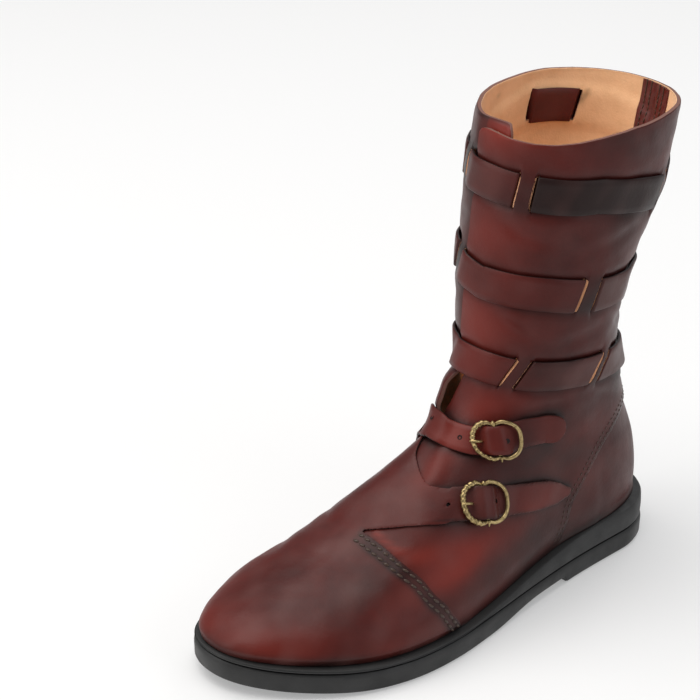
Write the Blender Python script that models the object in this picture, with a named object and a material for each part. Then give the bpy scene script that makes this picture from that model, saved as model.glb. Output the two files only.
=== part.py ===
"""Buckled boot, left foot, as an assembly of separate closed solids.

Sizes below are millimetres; MM turns them into Blender metres.
Frame: toe to -Y, heel to +Y, outer side (lateral) to +X, +Z up, floor at Z = 0.
The leather is one surface: a foot form and a leg form blended together.
Places on it are given by v (0 at the sole, 1 at the collar) and turn
(degrees round the boot: 0 front, 90 lateral, 180 back, negative medial).
"""
import bpy
import numpy as np

MM = 0.001

# Middle of the whole boot across, moved to X = 0
SHIFT = np.array([-3.853 * MM, 0.0, 0.0])

# Main sizes
LENGTH = 300.0
LEDGE = 4.5
WALL = 2.8
GAP = 0.35
STRAP_THICK = 2.0
COLLAR_DIP = 4.5
HEEL_TOP = 26.0
SOLE_DROP = 11.5
TOE_SPRING = 7.0
OUTSOLE_THICK = 12.0
BREAST_STEP = 4.0
HEEL_ROUND = 0.135
TOE_ROUND = 0.22
TOE_SWING = -20.0
FLAP_TURN = -16.0
FLAP_STEP = 1.6
VAMP_THICK = 1.5
COUNTER_RECESS = 1.7
COUNTER_THICK = 0.9

# Sole outline: fraction from heel to toe, lateral half width, medial half width
SOLE_ROWS = np.array([
    [0.00, 39.5, 34.0],
    [0.13, 39.5, 34.0],
    [0.27, 40.5, 30.0],
    [0.40, 44.0, 30.0],
    [0.52, 48.5, 37.0],
    [0.63, 52.0, 47.0],
    [0.72, 52.5, 53.0],
    [0.82, 49.0, 54.0],
    [0.92, 43.0, 50.0],
    [1.00, 39.0, 46.0]])

# Ridge of the foot form: fraction from heel to toe, height, place across
RIDGE_ROWS = np.array([
    [0.00, 60.0, 2.0],
    [0.10, 66.0, 2.0],
    [0.20, 84.0, 1.0],
    [0.30, 108.0, 0.0],
    [0.40, 120.0, -1.0],
    [0.48, 100.0, -3.0],
    [0.56, 85.0, -5.0],
    [0.64, 70.5, -8.0],
    [0.72, 56.2, -11.0],
    [0.80, 46.6, -14.0],
    [0.88, 41.5, -17.0],
    [0.95, 40.5, -19.0],
    [1.00, 41.0, -20.0]])

# Leg form: height, front y, back y, lateral half width, medial half width
LEG_ROWS = np.array([
    [15.0, 30.0, 142.0, 36.0, 29.0],
    [35.0, 30.0, 145.0, 37.5, 30.0],
    [60.0, 30.0, 142.0, 37.0, 31.0],
    [90.0, 24.0, 131.0, 36.0, 33.0],
    [120.0, 22.0, 121.0, 38.0, 36.0],
    [150.0, 24.0, 115.0, 42.0, 40.0],
    [172.0, 25.0, 115.5, 44.4, 42.3],
    [190.0, 26.0, 122.5, 46.0, 44.0],
    [230.0, 30.0, 141.0, 49.0, 46.0],
    [270.0, 36.0, 149.0, 51.0, 46.0]])

# Rings of the upper: v, rise above the sole at the toe end, rise at the heel end
RING_ROWS = np.array([
    [0.00, 0.0, 0.0],
    [0.10, 14.0, 12.0],
    [0.20, 30.0, 24.0],
    [0.30, 52.0, 38.0],
    [0.40, 84.0, 54.0],
    [0.50, 124.0, 76.0],
    [0.58, 158.0, 102.0],
    [0.66, 180.0, 134.0],
    [0.74, 194.0, 168.0],
    [0.84, 214.0, 206.0],
    [0.92, 238.0, 236.0],
    [1.00, 242.0, 242.0]])

# Heights of the mesh rows of the upper, as v
UPPER_V = np.array([0.0, 0.03, 0.08, 0.14, 0.20, 0.26, 0.32, 0.38, 0.43, 0.48, 0.53,
                    0.58, 0.63, 0.68, 0.73, 0.78, 0.83, 0.88, 0.94, 1.0])

# Straps of the shaft, centre lines: turn, v
STRAP_TOP = np.array([
    [-138.0, 0.885], [-110.0, 0.880], [-60.0, 0.855], [-29.0, 0.850], [20.0, 0.845],
    [66.0, 0.845], [96.0, 0.830], [122.0, 0.813], [150.0, 0.840], [180.0, 0.868],
    [222.0, 0.885]])
STRAP_MIDDLE = np.array([
    [-155.0, 0.684], [-97.0, 0.690], [-38.0, 0.690], [0.0, 0.672], [47.0, 0.676],
    [80.0, 0.673], [118.0, 0.680], [142.0, 0.695], [180.0, 0.692], [205.0, 0.684]])
STRAP_LOW = np.array([
    [-145.0, 0.543], [-83.0, 0.545], [-21.0, 0.540], [33.0, 0.540], [60.5, 0.541],
    [95.0, 0.545], [119.0, 0.547], [154.0, 0.546], [215.0, 0.543]])
ANKLE_STRAP = np.array([
    [-139.0, 0.394], [-130.0, 0.380], [-118.5, 0.350], [-103.5, 0.330], [-88.5, 0.320],
    [-69.5, 0.325], [-50.0, 0.349], [-37.0, 0.372], [-22.5, 0.396], [-11.0, 0.412],
    [-4.0, 0.416], [16.0, 0.418], [31.0, 0.4275], [46.0, 0.441], [58.5, 0.4445], [72.5, 0.436]])

# Where a strap runs inside the shaft: first turn, last turn (the leather bridge between two slits)
INSIDE_TOP = [(-138.0, -110.0), (-48.0, -40.0), (19.5, 28.5), (118.5, 126.5)]
INSIDE_MIDDLE = [(-155.0, -136.0), (-47.0, -38.5), (70.0, 82.0)]
INSIDE_LOW = [(-87.0, -80.0), (26.2, 34.0), (94.5, 102.5)]
INSIDE_ANKLE = [(-63.0, -56.0)]

# Slits: length along the strap, and how far their sides lean (run per rise)
SLIT_LONG = 5.4
LEAN_TOP = 0.12
LEAN_MIDDLE = 0.18
LEAN_LOW = 0.45

# Width of each strap
STRAP_WIDTH = {"shaft_strap_top": 19.0, "shaft_strap_middle": 18.6, "shaft_strap_low": 17.6,
               "ankle_strap": 16.0}

# Vamp: turn, v of the seam or waist line, v of the upper edge
VAMP_ROWS = np.array([
    [-118.0, 0.20, 0.330],
    [-104.0, 0.20, 0.330],
    [-89.0, 0.20, 0.320],
    [-70.0, 0.21, 0.325],
    [-50.0, 0.225, 0.349],
    [-32.0, 0.245, 0.384],
    [-20.0, 0.255, 0.394],
    [-14.0, 0.260, 0.388],
    [-8.0, 0.263, 0.376]])
VAMP_SEAM = np.array([
    [-8.0, 0.263], [5.0, 0.256], [15.6, 0.2434], [24.1, 0.2307], [33.0, 0.216], [41.4, 0.1993],
    [50.1, 0.1785], [58.1, 0.1484], [64.6, 0.1159], [69.7, 0.0776], [74.0, 0.0245]])
# Lower buckle strap, an arm of the vamp: turn, v of the centre line, width
VAMP_ARM = np.array([
    [6.7, 0.3166, 21.0],
    [18.3, 0.3233, 17.5],
    [30.6, 0.3264, 16.0],
    [40.8, 0.3246, 16.0],
    [51.0, 0.3184, 16.0],
    [60.7, 0.3115, 16.0],
    [71.0, 0.3017, 16.0],
    [79.7, 0.2901, 16.0],
    [88.6, 0.2753, 15.0],
    [96.3, 0.2573, 12.0],
    [101.6, 0.2463, 6.0]])

# Heel counter: turn from the back centre, v of its upper edge
COUNTER_ROWS = np.array([
    [-67.2, 0.300],
    [-65.0, 0.335],
    [-58.0, 0.378],
    [-43.0, 0.420],
    [-28.0, 0.436],
    [-14.0, 0.443],
    [0.0, 0.446],
    [14.0, 0.443],
    [28.0, 0.436],
    [43.0, 0.420],
    [58.0, 0.378],
    [65.0, 0.335],
    [67.2, 0.300]])

# Buckles: turn of the centre bar on the strap
BUCKLE_TURN = {"upper": 30.6, "lower": 51.0}
BUCKLE_LONG = 27.0
BUCKLE_HIGH = 26.0
BUCKLE_ROD = 1.6
HUMP = 4.6
HUMP_REACH = 6.0


def smooth(t):
    t = np.clip(t, 0.0, 1.0)
    return t * t * (3.0 - 2.0 * t)


def curve(rows, column, t):
    """Smooth value of one table column at t."""
    x = rows[:, 0]
    y = rows[:, column]
    t = np.clip(np.asarray(t, float), x[0], x[-1])
    slope = np.gradient(y, x)
    i = np.clip(np.searchsorted(x, t) - 1, 0, len(x) - 2)
    h = x[i + 1] - x[i]
    u = (t - x[i]) / h
    first = (2 * u**3 - 3 * u**2 + 1) * y[i] + (u**3 - 2 * u**2 + u) * h * slope[i]
    second = (-2 * u**3 + 3 * u**2) * y[i + 1] + (u**3 - u**2) * h * slope[i + 1]
    return first + second


def line(rows, column, t):
    return np.interp(t, rows[:, 0], rows[:, column])


def fraction(y):
    return (LENGTH / 2 - y) / LENGTH


def spring(s):
    return TOE_SPRING * np.clip((s - 0.70) / 0.30, 0.0, None) ** 2


def feather(s):
    """Height of the top of the sole."""
    return HEEL_TOP - SOLE_DROP * smooth((s - 0.20) / 0.42) + spring(s)


def end_round(s, heel, toe, power=2.2):
    e = np.where(s < heel, np.sqrt(np.clip(1 - (1 - s / heel) ** 2, 0, 1)), 1.0)
    tip = np.clip((s - 1 + toe) / toe, 0, 1)
    return np.where(s > 1 - toe, np.clip(1 - tip**power, 0, 1) ** (1 / power), e)


def swing(s):
    return TOE_SWING * np.clip((s - 0.58) / 0.42, 0, 1) ** 2


def half_widths(s, inset):
    """Centre, lateral and medial half width of the sole outline drawn in by inset."""
    t = np.clip((s - inset / LENGTH) / (1 - 2 * inset / LENGTH), 0, 1)
    e = end_round(t, HEEL_ROUND, TOE_ROUND)
    lateral = (curve(SOLE_ROWS, 1, t) - inset) * e
    medial = (curve(SOLE_ROWS, 2, t) - inset) * e
    return swing(t), lateral, medial


def foot_field(x, y, z):
    s = fraction(y)
    inset = LEDGE - 1.5
    centre, lateral, medial = half_widths(s, inset)
    base = feather(s)
    cut = (s - inset / LENGTH) / (1 - 2 * inset / LENGTH)
    rise = (curve(RIDGE_ROWS, 1, s) - base) * end_round(np.clip(cut, 0, 1), 1e-6, 0.20, 2.0)
    rise = np.maximum(rise, 1e-3)
    up = z - base
    level = np.clip(up / rise, 0, None)
    across = centre + (curve(RIDGE_ROWS, 2, s) - centre) * np.clip(level, 0, 1) * 0.9
    tuck = 1 - 0.05 * (1 - smooth(up / 16.0))
    wide = np.maximum(np.where(x > across, lateral, medial) * tuck, 1e-3)
    p, q = 2.3, 2.05
    rho = (np.abs((x - across) / wide) ** p + level**q) ** (2 / (p + q))
    reach = np.hypot(x - across, np.maximum(up, 0))
    d = reach * (1 - 1 / np.maximum(rho, 1e-6))
    d = d + 40 * smooth((0.22 - s) / 0.14)
    past = np.maximum((s - 1 + inset / LENGTH) * LENGTH, 0)
    return np.where(s > 1 - inset / LENGTH, np.maximum(d, past), d)


def leg_field(x, y, z):
    h = np.clip(z, LEG_ROWS[0, 0], LEG_ROWS[-1, 0])
    front, back, lateral, medial = (curve(LEG_ROWS, i, h) for i in (1, 2, 3, 4))
    mid_y, deep = (front + back) / 2, (back - front) / 2
    mid_x, wide = (lateral - medial) / 2, (lateral + medial) / 2
    n = 2.2
    rho = (np.abs((x - mid_x) / wide) ** n + np.abs((y - mid_y) / deep) ** n) ** (1 / n)
    return np.hypot(x - mid_x, y - mid_y) * (1 - 1 / np.maximum(rho, 1e-6))


def field(x, y, z):
    """Below zero inside the leather's outer surface."""
    a = foot_field(x, y, z)
    b = leg_field(x, y, z)
    k = 6 + 26 * smooth((z - 45) / 75)
    h = np.clip(0.5 + 0.5 * (b - a) / k, 0, 1)
    return b + (a - b) * h - k * h * (1 - h)


def ring_height(v, y):
    s = fraction(y)
    rise = curve(RING_ROWS, 1, v) * s + curve(RING_ROWS, 2, v) * (1 - s)
    keep = 1 - smooth(v / 0.5)
    dip = COLLAR_DIP * smooth((v - 0.7) / 0.3) * np.clip(1 - ((y - 92) / 57) ** 2, 0, 1)
    return rise + (feather(s) + GAP) * keep + HEEL_TOP * (1 - keep) - dip


def bisect(inside, span):
    low = np.zeros_like(span)
    high = span.copy()
    for _ in range(36):
        mid = (low + high) / 2
        within = inside(mid)
        low = np.where(within, mid, low)
        high = np.where(within, high, mid)
    return (low + high) / 2


def ring_ends(v):
    """Front and back y of the ring at v."""
    ends = []
    for sign in (-1.0, 1.0):
        def inside(t, sign=sign):
            y = 85.0 + sign * t
            return field(np.full_like(t, -2.0), y, ring_height(v, y)) < 0
        ends.append(85.0 + sign * bisect(inside, np.full_like(v, 320.0)))
    return ends


def skin(turn, v):
    """Points of the outer surface at turn (degrees) and v."""
    turn, v = np.broadcast_arrays(np.asarray(turn, float), np.asarray(v, float))
    shape = v.shape
    angle = np.radians(turn.ravel())
    v = v.ravel()
    front, back = ring_ends(v)
    mid, half = (front + back) / 2, (back - front) / 2
    start_y = mid - (half - np.minimum(half, 46.0)) * np.cos(angle)
    start_x = swing(np.clip(fraction(start_y), 0, 1)) * 0.8

    def inside(t):
        y = start_y - t * np.cos(angle)
        return field(start_x + t * np.sin(angle), y, ring_height(v, y)) < 0

    t = bisect(inside, np.full_like(v, 120.0))
    y = start_y - t * np.cos(angle)
    points = np.stack([start_x + t * np.sin(angle), y, ring_height(v, y)], -1)
    return points.reshape(shape + (3,))


def normals(points):
    e = 0.2
    x, y, z = points[..., 0], points[..., 1], points[..., 2]
    g = np.stack([field(x + e, y, z) - field(x - e, y, z),
                  field(x, y + e, z) - field(x, y - e, z),
                  field(x, y, z + e) - field(x, y, z - e)], -1)
    return g / np.maximum(np.linalg.norm(g, axis=-1, keepdims=True), 1e-9)


def material(name, color, rough, metal=0.0):
    m = bpy.data.materials.new(name)
    m.use_nodes = True
    shader = m.node_tree.nodes["Principled BSDF"]
    shader.inputs["Base Color"].default_value = color + (1.0,)
    shader.inputs["Roughness"].default_value = rough
    shader.inputs["Metallic"].default_value = metal
    m.diffuse_color = color + (1.0,)
    return m


def outward(points, faces):
    """Faces turned so that they enclose a volume above zero."""
    volume = 0.0
    for f in faces:
        a = points[f[0]]
        for i in range(1, len(f) - 1):
            volume += np.dot(a, np.cross(points[f[i]], points[f[i + 1]]))
    return [list(f) if volume > 0 else list(reversed(f)) for f in faces]


def add(name, points, faces, mat):
    points = np.asarray(points)
    mesh = bpy.data.meshes.new(name)
    mesh.from_pydata((points * MM - SHIFT).tolist(), [], outward(points - points.mean(0), faces))
    mesh.validate()
    mesh.materials.append(mat)
    ob = bpy.data.objects.new(name, mesh)
    bpy.context.scene.collection.objects.link(ob)
    return ob


def sheet(top, low, quads):
    """Closed solid between two copies of a patch: points above, points below, faces of the patch."""
    n = len(top)
    edges = {}
    for f in quads:
        for a, b in zip(f, f[1:] + f[:1]):
            edges[(a, b)] = edges.get((a, b), 0) + 1
    faces = [tuple(f) for f in quads]
    faces += [tuple(n + i for i in reversed(f)) for f in quads]
    for a, b in edges:
        if (b, a) not in edges:
            faces.append((b, a, n + a))
            faces.append((b, n + a, n + b))
    return np.concatenate([top, low]), faces


def grid_quads(columns, rows, closed=False, first=0):
    quads = []
    last = columns if closed else columns - 1
    for i in range(last):
        j = (i + 1) % columns
        for k in range(rows - 1):
            a = first + i * rows + k
            b = first + j * rows + k
            quads.append([a, b, b + 1])
            quads.append([a, b + 1, a + 1])
    return quads


def offset_patch(turn, v, low, high):
    points = skin(turn, v)
    n = normals(points)
    return points + n * np.asarray(high)[..., None], points + n * np.asarray(low)[..., None]


def flap_step(turn, v):
    """How far the lateral front flap stands over the medial one."""
    t = (np.asarray(turn) + 180.0) % 360.0 - 180.0
    side = np.where(t < FLAP_TURN - 0.1, 0.0, 1 - smooth((t - FLAP_TURN) / 70.0))
    return FLAP_STEP * side * smooth((np.asarray(v) - 0.50) / 0.05)


def flap_cover(turn, v):
    reach = [flap_step(np.asarray(turn) + d, v) for d in (-14.0, -10.0, -7.0, -3.5, 0.0, 3.5, 7.0)]
    return np.max(reach, axis=0)


def cutter(name, parts):
    points = []
    faces = []
    for p, f in parts:
        base = sum(len(q) for q in points)
        points.append(p)
        faces += [tuple(base + i for i in g) for g in f]
    ob = add(name, np.concatenate(points), faces, LEATHER)
    ob.hide_render = True
    ob.display_type = "WIRE"
    return ob


def cut(ob, tool, solver="EXACT"):
    mod = ob.modifiers.new("cut", "BOOLEAN")
    mod.operation = "DIFFERENCE"
    mod.solver = solver
    mod.object = tool


def project(points):
    """Points moved on to the outer surface."""
    p = np.array(points, float)
    for _ in range(5):
        p = p - 0.9 * field(p[..., 0], p[..., 1], p[..., 2])[..., None] * normals(p)
    return p


def path_axes(path, turns):
    """Centre points of a strap's path, with its directions along, across and outward."""
    turns = np.asarray(turns, float)
    centre = skin(turns, line(path, 1, turns))
    ahead = skin(turns + 1.5, line(path, 1, turns + 1.5))
    behind = skin(turns - 1.5, line(path, 1, turns - 1.5))
    n = normals(centre)
    along = ahead - behind
    along = along - n * np.sum(along * n, -1, keepdims=True)
    per_turn = np.linalg.norm(along, axis=-1) / 3.0
    along = along / np.linalg.norm(along, axis=-1, keepdims=True)
    return centre, along, np.cross(n, along), per_turn


def ribbon(path, turns, half, lean, rows=2):
    """Points across a strap on the skin: one row of points for each turn."""
    centre, along, across, _ = path_axes(path, turns)
    steps = np.linspace(-1.0, 1.0, rows)
    slope = np.broadcast_to(np.asarray(lean, float), np.shape(turns))[:, None]
    reach = np.broadcast_to(np.asarray(half, float), np.shape(turns))[:, None, None]
    way = across + along * slope
    return project(centre[:, None] + way[:, None] * reach * steps[None, :, None])


def raised(points, low, high):
    n = normals(points)
    return points + n * np.asarray(high)[..., None], points + n * np.asarray(low)[..., None]


def box_on_path(path, first, last, half, lean, low, high):
    """Cutter block over a stretch of a strap's path."""
    points = ribbon(path, np.array([first, last]), half, lean, 3)
    top, bottom = raised(points, np.full(points.shape[:2], low), np.full(points.shape[:2], high))
    return sheet(top.reshape(-1, 3), bottom.reshape(-1, 3), grid_quads(2, 3))


def slit_turns(path, first, last):
    """Outer and inner turn of the two slits beside the bridge from first to last."""
    per_turn = path_axes(path, np.array([first, last]))[3]
    return first - SLIT_LONG / per_turn[0], first, last, last + SLIT_LONG / per_turn[1]


def slit_cutters(path, spans, width, lean):
    parts = []
    for first, last in spans:
        a, b, c, d = slit_turns(path, first, last)
        parts.append(box_on_path(path, a, b, width / 2 + 1.2, lean, -9.0, 9.0))
        parts.append(box_on_path(path, c, d, width / 2 + 1.2, lean, -9.0, 9.0))
    return parts


def hump_turns(path, key):
    """Turns where a strap bends to climb over the centre bar of its buckle."""
    centre = BUCKLE_TURN[key]
    per_turn = path_axes(path, np.array([centre]))[3][0]
    return centre + HUMP_REACH / per_turn * np.array([-1.0, -0.25, 0.25, 1.0])


def hump(path, key, turn):
    return np.interp(turn, hump_turns(path, key), [0.0, HUMP, HUMP, 0.0], left=0.0, right=0.0)


def wrap_path(path):
    """Path of a closed strap repeated on both sides, so that it can be read past its ends."""
    before = path[:-1] - np.array([360.0, 0.0])
    after = path[1:] + np.array([360.0, 0.0])
    return np.concatenate([before, path, after])


def strap(name, path, spans, extra, closed, lean, tip=0.0):
    """Band that follows a path, dipping through slits to run inside between them."""
    inside = -(WALL + GAP + 0.7 + STRAP_THICK)
    start, end = path[0, 0], path[-1, 0]
    track = wrap_path(path) if closed else path
    ramps = []
    for first, last in spans:
        a, b, c, d = slit_turns(track, first, last)
        ramps.append((a + 0.7, b - 0.7, c + 0.7, d - 0.7))
    turns = list(np.arange(start, end, 6.0))
    for ramp in ramps:
        turns = [t for t in turns if not ramp[0] - 1.5 < t < ramp[3] + 1.5] + list(ramp)
    if not closed:
        marks = list(hump_turns(track, "upper"))
        turns = [t for t in turns if not marks[0] - 1.5 < t < marks[3] + 1.5] + marks + [end]
    turns = np.array(sorted(t + 360.0 if t < start else t for t in turns))
    turns = turns[np.concatenate([[True], np.diff(turns) > 0.5])]
    dip = np.zeros_like(turns)
    for ramp in ramps:
        for shift in (-360.0, 0.0):
            dip = np.maximum(dip, np.interp(turns + shift, ramp, [0, 1, 1, 0], left=0, right=0))
    outside = extra(turns, line(track, 1, turns))
    base = outside + (inside - outside) * dip
    half = np.full(len(turns), STRAP_WIDTH[name] / 2)
    if tip > 0:
        half[-1] *= 1 - tip
    points = ribbon(track, turns, half, lean)
    low = np.stack([base, base], 1)
    top, bottom = raised(points, low, low + STRAP_THICK)
    points, faces = sheet(top.reshape(-1, 3), bottom.reshape(-1, 3),
                          grid_quads(len(turns), 2, closed))
    return add(name, points, faces, STRAP_LEATHER)


def slab(name, levels, stations, mat):
    """Stack of sole outlines: each level is an inset and a height function of the fraction."""
    s = np.concatenate([stations, stations[-2:0:-1]])
    lateral = np.concatenate([np.ones(len(stations)), np.zeros(len(stations) - 2)]) > 0.5
    n = len(s)
    rings = []
    for inset, height in levels:
        k = inset / LENGTH
        at = k + (1 - 2 * k) * s
        centre, wide_l, wide_m = half_widths(at, inset)
        x = np.where(lateral, centre + wide_l, centre - wide_m)
        rings.append(np.stack([x, LENGTH / 2 - at * LENGTH, height(at)], 1))
    faces = []
    for r in range(len(levels) - 1):
        for i in range(n):
            j = (i + 1) % n
            faces.append((r * n + j, r * n + i, (r + 1) * n + i, (r + 1) * n + j))
    m = len(stations)
    for base, flip in ((0, False), ((len(levels) - 1) * n, True)):
        for i in range(m - 1):
            a, b = base + i, base + i + 1
            c, d = base + (n - i - 1) % n, base + (n - i) % n
            if i == 0:
                f = (a, b, c)
            elif i == m - 2:
                f = (a, b, d)
            else:
                f = (a, b, c, d)
            faces.append(f[::-1] if flip else f)
    return add(name, np.concatenate(rings), faces, mat)


def sole_bottom(s):
    """Underside: flat at heel and forefoot, raised at the waist, toe spring in front."""
    arch = BREAST_STEP * smooth((s - 0.298) / 0.012) * (1 - smooth((s - 0.38) / 0.16))
    return arch + spring(s)


def sole_split(s):
    return OUTSOLE_THICK + spring(s)


def build_sole():
    stations = np.concatenate([[0.0, 0.006, 0.02, 0.045, 0.08, 0.13, 0.19, 0.25, 0.297, 0.311],
                               np.linspace(0.35, 0.80, 10),
                               [0.84, 0.88, 0.92, 0.95, 0.972, 0.988, 0.996, 1.0]])
    slab("outsole", [(1.6, sole_bottom), (0.3, lambda s: sole_bottom(s) + 1.6),
                     (0.0, lambda s: sole_split(s) - 2.2), (0.9, sole_split)], stations, RUBBER)
    split = lambda s: sole_split(s) + GAP
    slab("midsole", [(0.9, split), (0.2, lambda s: split(s) + 0.35 * (feather(s) - split(s))),
                     (0.6, lambda s: feather(s) - 0.6), (1.6, feather)], stations, RUBBER)
    slab("insole", [(10.5, lambda s: feather(s) + GAP), (10.5, lambda s: feather(s) + 2.6)],
         stations[::2] if len(stations) % 2 else np.append(stations[:-1:2], 1.0), INSOLE)


def throat_gap():
    """Narrow wedge left open between the two flaps above the instep."""
    turn = np.array([[-15.5, -15.2, -15.0], [-14.0, -11.5, -8.5]])
    v = np.broadcast_to(np.array([0.45, 0.486, 0.518]), turn.shape)
    top, bottom = offset_patch(turn, v, np.full(turn.shape, -9.0), np.full(turn.shape, 9.0))
    return sheet(top.reshape(-1, 3), bottom.reshape(-1, 3), grid_quads(2, 3))


def upper_turns():
    turns = np.linspace(-180.0, 180.0, 49)[:-1]
    turns = turns[np.abs(turns - FLAP_TURN) > 3.5]
    return np.sort(np.concatenate([turns, [FLAP_TURN - 0.9, FLAP_TURN]]))


def build_upper():
    turns = upper_turns()
    turn, v = np.meshgrid(turns, UPPER_V, indexing="ij")
    points = skin(turn, v)
    n = normals(points)
    flat = n.copy()
    flat[..., 2] *= smooth(v / 0.08)
    flat /= np.linalg.norm(flat, axis=-1, keepdims=True)
    top = points + n * flap_step(turn, v)[..., None]
    low = points - flat * WALL
    p, f = sheet(top.reshape(-1, 3), low.reshape(-1, 3), grid_quads(len(turns), len(UPPER_V), True))
    upper = add("upper", p, f, LEATHER)
    width = STRAP_WIDTH
    parts = slit_cutters(wrap_path(STRAP_TOP), INSIDE_TOP, width["shaft_strap_top"], LEAN_TOP)
    parts += slit_cutters(wrap_path(STRAP_MIDDLE), INSIDE_MIDDLE, width["shaft_strap_middle"], LEAN_MIDDLE)
    parts += slit_cutters(wrap_path(STRAP_LOW), INSIDE_LOW, width["shaft_strap_low"], LEAN_LOW)
    parts += slit_cutters(ANKLE_STRAP, INSIDE_ANKLE, width["ankle_strap"], 0.0)
    parts.append(throat_gap())
    slits = cutter("slit_cutter", parts)
    # The exact solver leaves doubled edges at these slits
    cut(upper, slits, "MANIFOLD")
    return upper, slits


def counter_patch(grow, low, high):
    """Counter panel grown (or shrunk) along its border, from v 0 to its upper edge."""
    rows = np.array([0.0, 0.2, 0.45, 0.72, 1.0])
    turns = 180.0 + COUNTER_ROWS[:, 0]
    ends = np.where(turns < 180, -1.0, 1.0) * (np.abs(turns - 180.0) > 66.0)
    turns = turns + ends * grow * 1.3
    edge = COUNTER_ROWS[:, 1] + grow * 0.0035
    foot = np.full(len(turns), 0.012 - grow * 0.005)
    turn = np.repeat(turns[:, None], len(rows), 1)
    v = foot[:, None] + (edge - foot)[:, None] * rows[None, :]
    top, bottom = offset_patch(turn, v, np.full(turn.shape, low), np.full(turn.shape, high))
    return sheet(top.reshape(-1, 3), bottom.reshape(-1, 3), grid_quads(len(turns), len(rows)))


def build_counter(upper):
    p, f = counter_patch(0.0, -COUNTER_RECESS, 6.0)
    cut(upper, cutter("counter_cutter", [(p, f)]), "MANIFOLD")
    high = -COUNTER_RECESS + 0.25 + COUNTER_THICK
    p, f = counter_patch(-0.6, -COUNTER_RECESS + 0.25, high)
    add("heel_counter", p, f, LEATHER)


def vamp_quads():
    """Vamp patch: a band from the sole to the waist line, a band above it, the toe and the arm."""
    low_rows = np.array([0.0, 0.15, 0.35, 0.55, 0.78, 1.0])
    high_rows = np.array([0.5, 1.0])
    foot = 0.012
    main = np.array([-118.0, -112, -106, -98, -90, -82, -74, -66, -58, -50, -42, -34, -26, -20, -14, -8])
    turns = []
    vs = []
    waist = line(VAMP_ROWS, 1, main)
    top = line(VAMP_ROWS, 2, main)
    for t, w, e in zip(main, waist, top):
        vs += list(foot + (w - foot) * low_rows) + list(w + (e - w) * high_rows)
        turns += [t] * 8
    quads = grid_quads(len(main), 8)
    join = (len(main) - 1) * 8
    last = list(range(join, join + 6))
    for t, w in VAMP_SEAM[1:]:
        now = list(range(len(vs), len(vs) + 6))
        turns += [t] * 6
        vs += list(foot + (w - foot) * low_rows)
        quads += [[a, b, c] for a, b, c in zip(last, now, now[1:])]
        quads += [[a, c, d] for a, c, d in zip(last, now[1:], last[1:])]
        last = now
    points = skin(np.array(turns), np.array(vs))
    marks = hump_turns(VAMP_ARM, "lower")
    arm = np.array([t for t in VAMP_ARM[:, 0] if not marks[0] - 2 < t < marks[3] + 2])
    arm = np.sort(np.concatenate([arm, marks]))
    reach = ribbon(VAMP_ARM, arm, line(VAMP_ARM, 2, arm) / 2, 0.0, 3)
    rise = np.concatenate([np.zeros(len(points)), np.repeat(hump(VAMP_ARM, "lower", arm), 3)])
    first = len(points)
    quads += grid_quads(len(arm), 3, False, first)
    for k in range(2):
        a, b = join + 5 + k, first + k
        quads += [[a, b, b + 1], [a, b + 1, a + 1]]
    return np.concatenate([points, reach.reshape(-1, 3)]), rise, quads


def last_form(grow):
    """The upper's outside as one filled form, grown by a clearance."""
    turns = upper_turns()
    turn, v = np.meshgrid(turns, UPPER_V, indexing="ij")
    points = skin(turn, v)
    top = points + normals(points) * (flap_step(turn, v) + grow)[..., None]
    rows = len(UPPER_V)
    top[:, 0] += 2.5 * (top[:, 0] - top[:, 1])
    quads = grid_quads(len(turns), rows, True)
    quads.append([i * rows for i in range(len(turns))][::-1])
    quads.append([i * rows + rows - 1 for i in range(len(turns))])
    return top.reshape(-1, 3), [tuple(f) for f in quads]


def build_vamp(slits):
    points, rise, quads = vamp_quads()
    low = np.where(rise > 0.01, GAP + rise, -1.2)
    top, bottom = raised(points, low, GAP + VAMP_THICK + rise)
    p, f = sheet(top, bottom, quads)
    vamp = add("vamp", p, f, LEATHER)
    cut(vamp, cutter("form_cutter", [last_form(GAP + 0.1)]))
    cut(vamp, slits)


def ankle_offset(turn, v):
    over = np.where((turn > -120) & (turn < -4), 1.0, 0.0)
    over = np.where(turn >= -4, np.clip(1 - (turn + 4) / 8, 0, 1), over)
    over = np.where(turn <= -120, np.clip(1 - (-120 - turn) / 8, 0, 1), over)
    return GAP + 1.15 + over * (VAMP_THICK + 0.8) + hump(ANKLE_STRAP, "upper", turn)


def strap_offset(stand, clear):
    def extra(turn, v):
        bump = np.zeros_like(turn)
        for shift in (-360.0, 0.0, 360.0):
            bump = np.maximum(bump, np.clip(1 - np.abs(turn + shift - 165.0) / 38.0, 0, 1))
        return GAP + clear + flap_cover(turn, v + 0.03) + stand * smooth(bump)
    return extra


def tube(path, radius, sides=6, closed=True):
    """Round rod along a path of points."""
    path = np.asarray(path, float)
    n = len(path)
    if closed:
        along = np.roll(path, -1, 0) - np.roll(path, 1, 0)
    else:
        along = np.gradient(path, axis=0)
    along /= np.linalg.norm(along, axis=1, keepdims=True)
    up = np.array([0.0, 0.0, 1.0])
    side = np.cross(along, up)
    side /= np.linalg.norm(side, axis=1, keepdims=True)
    over = np.cross(side, along)
    angle = np.arange(sides) * 2 * np.pi / sides
    ring = np.cos(angle)[None, :, None] * side[:, None] + np.sin(angle)[None, :, None] * over[:, None]
    points = (path[:, None] + radius * ring).reshape(-1, 3)
    faces = []
    for i in range(n if closed else n - 1):
        j = (i + 1) % n
        for k in range(sides):
            m = (k + 1) % sides
            faces.append((i * sides + k, i * sides + m, j * sides + m, j * sides + k))
    if not closed:
        faces.append(tuple(reversed(range(sides))))
        faces.append(tuple(range((n - 1) * sides, n * sides)))
    return points, faces


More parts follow.
